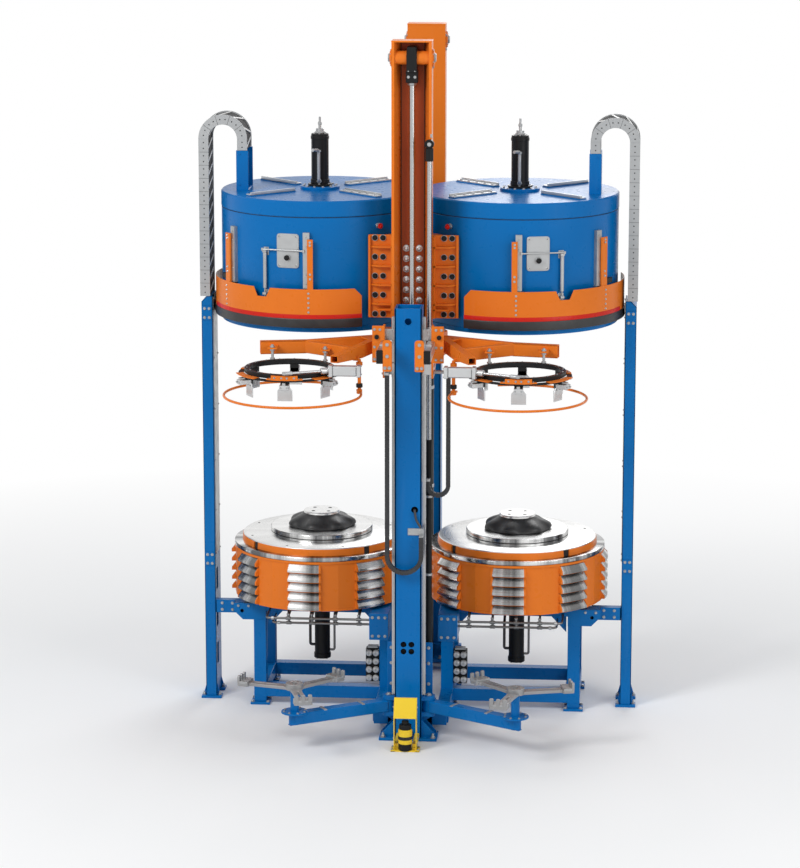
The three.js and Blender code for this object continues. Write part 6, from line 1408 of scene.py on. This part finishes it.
def loader_arm(name, side):
    p = Part(f"vis_{name}_loader_arm", f"{name}_loader_arm", f"{name}_loader_arm", side)
    px, py = PIVOT
    z0, z1 = 2913, 3008
    knee, outer, front, brace = (764, -1035), (1095, -1100), (495, -1655), (392, -1300)
    p.vpipe(px, py, z0, z1, 42, 18.6, "orange", 44, 2.5)
    square_tube(p, PIVOT, knee, 60, z0, z1, "orange")
    square_tube(p, knee, outer, 60, z0, z1, "orange", open_end=True)
    p.vcyl(*knee, z0 + 0.5, z1 - 0.5, 30, "orange", 36, 3)
    square_tube(p, brace, knee, 56, z0 + 3, z1 - 3, "orange")
    # Front tube: deep at the hub, shallow at its open end
    m, length = beam_frame(PIVOT, front)
    side_shape = [(0, z0), (length / 2, z0), (length, z1 - 53), (length, z1 - 46), (length / 2, z0 + 7),
                  (0, z0 + 7)]
    tilt = m @ FRAMES["xz"].to_4x4()
    web = [(0, z0), (length / 2, z0), (length, z1 - 53), (length, z1), (0, z1)]
    for y in (-30, 23):
        p.plate(web, y, y + 7, "orange", c=1.5, turn=tilt)
    p.plate(side_shape, -29.5, 29.5, "orange", c=1.5, turn=tilt)
    p.box(0, length, -29.5, 29.5, z1 - 7, z1 - 0.5, "orange", 1.5, turn=m)
    # Black box inside the open end: painted shade
    p.box(0, length - 90, -26, 26, z1 - 50, z1 - 4, "dark", 0, turn=m)
    p.plate(chamfer([(PIVOT[0] + 30, PIVOT[1] - 50), (PIVOT[0] + 180, PIVOT[1] - 60),
                     (PIVOT[0] + 70, PIVOT[1] - 230)], 20), z1 - 8, z1 + 1, "orange", c=1.5)
    # Hangers of the chuck: bracket on the arm, rod with nuts and pad on the ring
    foot, plate, plate_top = 2892.4, 2970, 2981
    for x, y in ((992, -1212), (599, -1262)):
        p.box(x - 34, x + 34, y - 17, -1095, plate, plate_top, "orange", 2)
        p.vcyl(x, y, foot, 3004, 10, "zinc", 24, 1)
        p.vcyl(x, y, plate_top, 2994, 18, "zinc", 6, 2)
        p.vcyl(x, y, 2956, plate, 18, "zinc", 6, 2)
        p.vcyl(x, y, foot, 2906, 18, "zinc", 6, 2)
    # Hoop with its stem and clamp
    (hx, hy), hz, hr = STAND, 2687, 497
    pts = [polar(hr, 156 + 313.5 * i / 110, hx, hy) for i in range(111)]
    p.tube([(x, y, hz) for x, y in pts], 9.5, "orange", 16)
    post_at = polar(hr, 162, hx, hy)
    p.vcyl(*post_at, hz - 14, 2925, 13, "orange", 28, 2)
    p.vcyl(*post_at, hz + 30, hz + 60, 24, "black", 28, 3)
    p.vcyl(*post_at, hz - 16, hz + 16, 21, "orange", 28, 3)
    p.vcyl(*post_at, 2880, 2906, 24, "orange", 28, 3)
    end = (px + (front[0] - px) * 0.62, py + (front[1] - py) * 0.62)
    square_tube(p, post_at, end, 26, 2913.5, 2943, "orange")
    return p.done()


def chuck(name, side):
    p = Part(f"vis_{name}_chuck", f"{name}_loader_arm", f"{name}_chuck", side)
    cx, cy = CHUCK
    low, top = 2860, 2892
    p.ring(290, 328, low, top, "black", cx, cy, segs=96, c=3)
    p.bolt_circle(18, 309, 10, (cx, cy), top, 6, "zinc", 5, washer=False, sides=12)
    for angle in range(30, 360, 60):
        m = radial(angle, cx, cy)
        p.box(298, 320, -32, 32, 2793, 2862, "black", 2.5, turn=m)
        p.box(298, 404, -32, 32, 2794, 2828, "aluminium", 2.5, turn=m)
        p.box(306, 398, -12, 12, 2826, 2845, "steel", 2, turn=m)
        p.box(320, 352, -26, 26, 2828, 2843, "black", 2, turn=m)
        p.plate([(-54, 2700), (54, 2700), (54, 2776), (34, 2800), (-34, 2800), (-54, 2776)], 311, 320,
                "aluminium", frame="yz", c=2, turn=m @ FRAMES["yz"].to_4x4())
        p.box(300, 312, -20, 20, 2716, 2800, "zinc", 2, turn=m)
        for v in (-22, 22):
            p.cyl(m @ Vector((404, v, 2811)), m @ Vector((412, v, 2811)), 6, "zinc", 16, 1)
            p.cyl(m @ Vector((320, v, 2783)), m @ Vector((325, v, 2783)), 6, "steel", 16, 1)
    # Grip cylinder
    x0, x1, yc, zc = 298, 527, -1724, 2912
    p.box(x0 + 26, x1 - 26, yc - 36, yc + 36, zc - 36, zc + 36, "aluminium", 8)
    p.boxes("aluminium", 4, (x0, x0 + 28, yc - 41, yc + 41, zc - 41, zc + 41),
            (x1 - 28, x1, yc - 41, yc + 41, zc - 41, zc + 41))
    for y in (yc - 30, yc + 30):
        for z in (zc - 30, zc + 30):
            p.bolt((x0, y, z), (-1, 0, 0), 6, "zinc", 5, washer=False)
            p.bolt((x1, y, z), (1, 0, 0), 6, "zinc", 5, washer=False)
    d = Vector((832 - x1, -1870 - yc, 0)).normalized()
    s = Vector((x1, yc, zc))
    p.cyl(s - d * 20, s + d * 62, 24, "steel", 36, 3)
    p.cyl(s + d * 60, s + d * 300, 9, "chrome", 24, 1)
    e = Vector((832, -1870, zc))
    p.cyl(e - d * 60, e + d * 2, 14, "zinc", 24, 2)
    p.cyl(e + Vector((0, 0, -9)), e + Vector((0, 0, 12)), 15, "zinc", 28, 2)
    seat = polar(309.5, 212, cx, cy)
    square_tube(p, (x1 - 41, yc), seat, 44, 2863, 2891, "black")
    return p.done()


def cam_ring(name, side):
    p = Part(f"vis_{name}_cam_ring", f"{name}_cam_ring", f"{name}_cam_ring", side)
    cx, cy = CHUCK
    p.ring(334, 371, 2845.8, 2858, "black", cx, cy, segs=110, c=2)
    for mid, wide in ((210, 26), (325, 20)):
        p.ring(334, 392, 2857, 2863, "orange", cx, cy, segs=12, a0=mid - wide, a1=mid + wide, c=1)
    for k in range(3):
        mid = 30 + 120 * k
        p.ring(336, 369, 2856, 2866, "orange", cx, cy, segs=14, a0=mid - 21, a1=mid + 21, c=1)
        for a in (mid - 17, mid - 6, mid + 6, mid + 17):
            p.bolt((*polar(352, a, cx, cy), 2866), (0, 0, 1), 6, "zinc", 5)
    p.ring(361, 371, 2856, 2892, "orange", cx, cy, segs=10, a0=-105, a1=-75, c=1.2)
    for a in (-101, -93, -87, -79):
        p.bolt((*polar(371, a, cx, cy), 2876), outward(a), 6, "zinc", 5)
    return p.done()


# ---------------------------------------------------------------- stands, scanner guard, cable chains
def stand_arm(name, side):
    p = Part(f"vis_{name}_stand_arm", f"{name}_stand_arm", f"{name}_stand_arm", side)
    a, b = (150, -1080), STAND
    low, high, flange = 203, 291, 303
    p.vpipe(*a, low, high, 44, 15.6, "blue", 40, 3)
    m, length = beam_frame(a, b)
    p.plate(chamfer(rect(low, high, -44, 44), 6), 30, length + 20, "blue", c=2,
            turn=m @ Matrix(((0, 0, 1, 0), (0, 1, 0, 0), (1, 0, 0, 0), (0, 0, 0, 1))))
    p.vcyl(*b, low, high, 44, "blue", 40, 4)
    p.vcyl(*b, high, flange, 100, "blue", 64, 2)
    p.vcyl(*b, 300, 470, 32, "blue", 40, 3)
    p.vcyl(*b, 440, 500, 20, "steel", 32, 2)
    p.bolt_circle(8, 82, 22.5, b, flange, 8, "zinc", 7)
    p.box(length - 60, length + 46, -20, 20, 197, 204, "blue", 2, turn=m)
    for t in (0.3, 0.7):
        x, y = a[0] + (b[0] - a[0]) * t, a[1] + (b[1] - a[1]) * t
        p.box(-12, 12, -46, 46, 286, 294, "zinc", 1.5,
              turn=turn_z(math.degrees(math.atan2(b[1] - a[1], b[0] - a[0])), x, y))
    return p.done()


def tray(name, side):
    p = Part(f"vis_{name}_tray", f"{name}_tray", f"{name}_tray", side)
    cx, cy = STAND
    low, arm_top, hub_top = 470, 492, 518
    pad_low, pad_top = 490, 506
    p.vpipe(cx, cy, low, hub_top, 66, 21.2, "cast", 44, 2.5)
    p.bolt_circle(6, 48, 30, (cx, cy), hub_top, 6, "zinc", 5, washer=False, sides=12)
    for angle in (15, 135, -105):
        m = radial(angle, cx, cy)
        outline = [(40, -42), (120, -36), (340, -36), (350, -66), (430, -66), (430, 66), (350, 66), (340, 36),
                   (120, 36), (40, 42)]
        holes = [rounded(rect(150, 320, -9, 9), 8, 4)]
        p.plate(chamfer(outline, 8), low, arm_top, "cast", holes=holes, c=2, turn=m)
        p.box(350, 429, -64, 64, pad_low, pad_top, "zinc", 2, turn=m)
        for v in (-50, 0, 50):
            tip = rounded(rect(v - 15, v + 15, pad_low, 548), [0, 0, 11, 11], 4)
            p.plate(tip, 412, 430, "cast", c=2, turn=m @ FRAMES["yz"].to_4x4())
        for v in (-45, 45):
            a = m @ Vector((370, v, pad_top))
            p.bolt(a, (0, 0, 1), 6, "zinc", 5)
    return p.done()


def scanner_guard():
    p = Part("vis_scanner_guard", "press_frame", "scanner_guard")
    scan_y = -1440
    hood = [(-1400, 393), (-1480, 258), (-1474, 258), (-1397, 387), (-1382, 387), (-1382, 393)]
    p.plate(hood, -85, 85, "yellow", frame="yz", c=1)
    for s in (-1, 1):
        cheek = [(-1468, 258), (-1462, 0), (-1388, 0), (-1388, 390), (-1400, 390)]
        p.plate(cheek, s * 79, s * 85, "yellow", frame="yz", c=1)
        p.boxes("yellow", 2, (s * 51, s * 85, -1440, -1366, 0, 30), (s * 51, s * 85, -1440, -1170.3, 24, 54),
                (s * 72, s * 107, -1474, -1364, 0, 12))
        p.bolts(s * 96, (-1455, -1385), 12, (0, 0, 1), 8, "zinc", 7)
        p.bolt((s * 85, -1420, 330), (s, 0, 0), 7, "zinc", 6)
        p.bolt((s * 85, -1420, 90), (s, 0, 0), 7, "zinc", 6)
    p.box(-107, 107, -1474, -1364, 0, 8, "yellow", 2)
    p.vcyl(0, scan_y, 6, 60, 46, "black", 44, 3)
    p.vcyl(0, scan_y, 58, 168, 52, "yellow", 48, 5)
    p.vcyl(0, scan_y, 166, 205, 46, "black", 44, 5)
    p.vcyl(0, scan_y, 203, 235, 26, "black", 36, 4)
    p.ring(45, 52.8, 92, 118, "dark", 0, -1440, segs=48, c=1)
    p.tube([(0, -1400, 60), (0, -1360, 40), (20, -1260, 44), (30, -1172, 60)], 8, "cable", 12, bend=40)
    return p.done()


def cable_chain(name, moving_x, fixed_x, y, moving_top, fixed_top, bottom):
    """A hanging U of plastic links in three pieces: moving leg, bend and fixed leg."""
    radius = abs(moving_x - fixed_x) / 2
    mid = (moving_x + fixed_x) / 2
    centre = bottom + radius + 16
    sign = 1 if moving_x > fixed_x else -1

    def link(p, x, z, angle, length):
        m = Matrix.Translation((x, y, z)) @ Matrix.Rotation(-angle, 4, "Y")
        p.boxes("plastic", 1.5, (-16, 16, -20, -14, -length * 0.5, length * 0.47),
                (-16, 16, 14, 20, -length * 0.5, length * 0.47), turn=m)
        p.boxes("plastic", 1, (-15.5, -10, -18, 18, -length * 0.3, length * 0.3),
                (10, 15.5, -18, 18, -length * 0.3, length * 0.3), turn=m)
        for v in (-20, 20):
            a = m @ Vector((0, v * 0.95, -length * 0.42))
            b = m @ Vector((0, v * 1.06, -length * 0.42))
            p.cyl(a, b, 5.5, "plastic", 12, 0.6)
    leg = Part(f"vis_{name}_e_chain_moving", None, f"{name}_e_chain")
    count = max(1, round((moving_top - centre) / 34))
    step = (moving_top - centre) / count
    for k in range(count):
        link(leg, moving_x, centre + step * (k + 0.5), 0, step)
    leg.tube([(moving_x, y, centre), (moving_x, y, moving_top)], 8, "cable", 10)
    arch = Part(f"vis_{name}_e_chain_bend", None, [])
    count = max(6, round(math.pi * radius / 34))
    for k in range(count):
        a = math.pi * (k + 0.5) / count
        link(arch, mid + sign * radius * math.cos(a), centre - radius * math.sin(a), sign * -a,
             math.pi * radius / count * 1.04)
    arch.tube([(mid + sign * radius * math.cos(math.pi * i / 16), y,
                centre - radius * math.sin(math.pi * i / 16)) for i in range(17)], 8, "cable", 10)
    fixed = Part(f"vis_{name}_e_chain_fixed", None, [])
    count = max(1, round((fixed_top - centre) / 34))
    step = (fixed_top - centre) / count
    for k in range(count):
        link(fixed, fixed_x, centre + step * (k + 0.5), 0, step)
    fixed.tube([(fixed_x, y, centre), (fixed_x, y, fixed_top)], 8, "cable", 10)
    objs = [leg.done(), arch.done(), fixed.done()]
    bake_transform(objs[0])
    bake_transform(objs[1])
    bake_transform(objs[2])
    return objs


for side_name, sign in SIDES:
    turn = DRUM_TURNS[side_name]
    lock_drum(side_name, sign, turn)
    lower_platen(side_name, sign)
    bladder(side_name, sign)
    bladder_post(side_name, sign)
    centre_cylinder(side_name, sign)
    dome(side_name, sign)
    lid(side_name, sign)
    top_cylinder(side_name, sign)
    upper_platen(side_name, sign)
    lock_ring(side_name, sign, turn)
    guard(side_name, sign)
    energy_chain(side_name, sign)
    post(side_name, sign)
    loader_rail(side_name, sign)
    base_frame(side_name, sign)
    manifold(side_name, sign)
    loader_carriage(side_name, sign)
    loader_arm(side_name, sign)
    chuck(side_name, sign)
    cam_ring(side_name, sign)
    stand_arm(side_name, sign)
    tray(side_name, sign)
for end_name, sign in (("front", 1), ("rear", -1)):
    mast(end_name, sign)
    lift_rod(end_name, sign)
    lift_barrel(end_name, sign)
    saddle(end_name, sign)
    column(end_name, sign)
side_lift()
scanner_guard()
cable_chain("left", -150, 101, -1230, 2790, 1577.7, 1290)
cable_chain("right", 285, 135, -1000, 2765, 1950, 1830)


# ---------------------------------------------------------------- stage, light and camera
def seen_ray(nt):
    """1 for rays that show the background: from the camera, off gloss and through glass."""
    path = nt.nodes.new("ShaderNodeLightPath")
    first = calc(nt, "MAXIMUM", path.outputs["Is Camera Ray"], path.outputs["Is Glossy Ray"])
    return calc(nt, "MAXIMUM", first, path.outputs["Is Transmission Ray"])


def stage():
    scene = bpy.context.scene
    scene.view_settings.view_transform = "Standard"
    mesh = bpy.data.meshes.new("floor")
    mesh.from_pydata([(-60, -60, 0), (60, -60, 0), (60, 60, 0), (-60, 60, 0)], [], [(0, 1, 2, 3)])
    floor = bpy.data.objects.new("floor", mesh)
    scene.collection.objects.link(floor)
    # Pale floor that keeps the shadow near the press and turns into the white background further out
    mat, nt, shader, coords = new_material("floor")
    put(shader, Base_Color=(0.9, 0.9, 0.9, 1), Roughness=0.9, Specular_IOR_Level=0.1)
    distance = calc(nt, "LENGTH", coords.outputs["Object"], kind="ShaderNodeVectorMath", out="Value")
    fade = ramp(nt, distance, FLOOR_NEAR, FLOOR_FAR, 0.0, 1.0)
    white = nt.nodes.new("ShaderNodeEmission")
    white.inputs["Strength"].default_value = 1.0
    share = calc(nt, "MULTIPLY", fade, seen_ray(nt))
    blend = nt.nodes.new("ShaderNodeMixShader")
    out = next(n for n in nt.nodes if n.type == "OUTPUT_MATERIAL")
    nt.links.new(share, blend.inputs[0])
    nt.links.new(shader.outputs[0], blend.inputs[1])
    nt.links.new(white.outputs[0], blend.inputs[2])
    nt.links.new(blend.outputs[0], out.inputs["Surface"])
    mesh.materials.append(mat)
    floor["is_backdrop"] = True
    world = bpy.data.worlds.new("world")
    scene.world = world
    world.use_nodes = True
    nt = world.node_tree
    nt.nodes.clear()
    out = nt.nodes.new("ShaderNodeOutputWorld")
    back = nt.nodes.new("ShaderNodeBackground")
    light = nt.nodes.new("ShaderNodeBackground")
    mixer = nt.nodes.new("ShaderNodeMixShader")
    put(back, Color=(1, 1, 1, 1), Strength=1.0)
    put(light, Color=(0.96, 0.98, 1.0, 1), Strength=0.55)
    nt.links.new(seen_ray(nt), mixer.inputs[0])
    nt.links.new(light.outputs[0], mixer.inputs[1])
    nt.links.new(back.outputs[0], mixer.inputs[2])
    nt.links.new(mixer.outputs[0], out.inputs["Surface"])

    def area_light(name, at, towards, size, power, color=(1, 1, 1)):
        data = bpy.data.lights.new(name, "AREA")
        data.shape = "RECTANGLE"
        data.size, data.size_y = size
        data.energy = power
        data.color = color
        obj = bpy.data.objects.new(name, data)
        scene.collection.objects.link(obj)
        obj.location = at
        obj.rotation_euler = (Vector(towards) - Vector(at)).to_track_quat("-Z", "Y").to_euler()
        return obj
    area_light("key", (-6.5, -8.0, 9.5), (0, 0.2, 2.2), (4, 4), 680)
    area_light("fill", (8.0, -7.0, 6.0), (0, 0.2, 2.0), (5, 6), 300)
    area_light("rear", (2.0, 9.0, 8.0), (0, 0.2, 2.2), (5, 5), 330)
    camera_data = bpy.data.cameras.new("camera")
    camera_data.lens = 133.72
    camera_data.sensor_width = 36
    camera_data.sensor_fit = "AUTO"
    camera_data.clip_end = 200
    camera = bpy.data.objects.new("camera", camera_data)
    scene.collection.objects.link(camera)
    camera.location = CAMERA_AT
    yaw, pitch = CAMERA_YAW, CAMERA_PITCH
    forward = Vector((-math.sin(yaw) * math.cos(pitch), math.cos(yaw) * math.cos(pitch), -math.sin(pitch)))
    camera.rotation_euler = forward.to_track_quat("-Z", "Y").to_euler()
    scene.camera = camera


stage()


def plain(bounds):
    if isinstance(bounds, dict):
        return {k: plain(v) for k, v in bounds.items()}
    if isinstance(bounds, (list, tuple, Vector)):
        return [plain(v) for v in bounds]
    return bounds


{"cad": plain(cad_bounds), "visual": plain(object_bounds())}
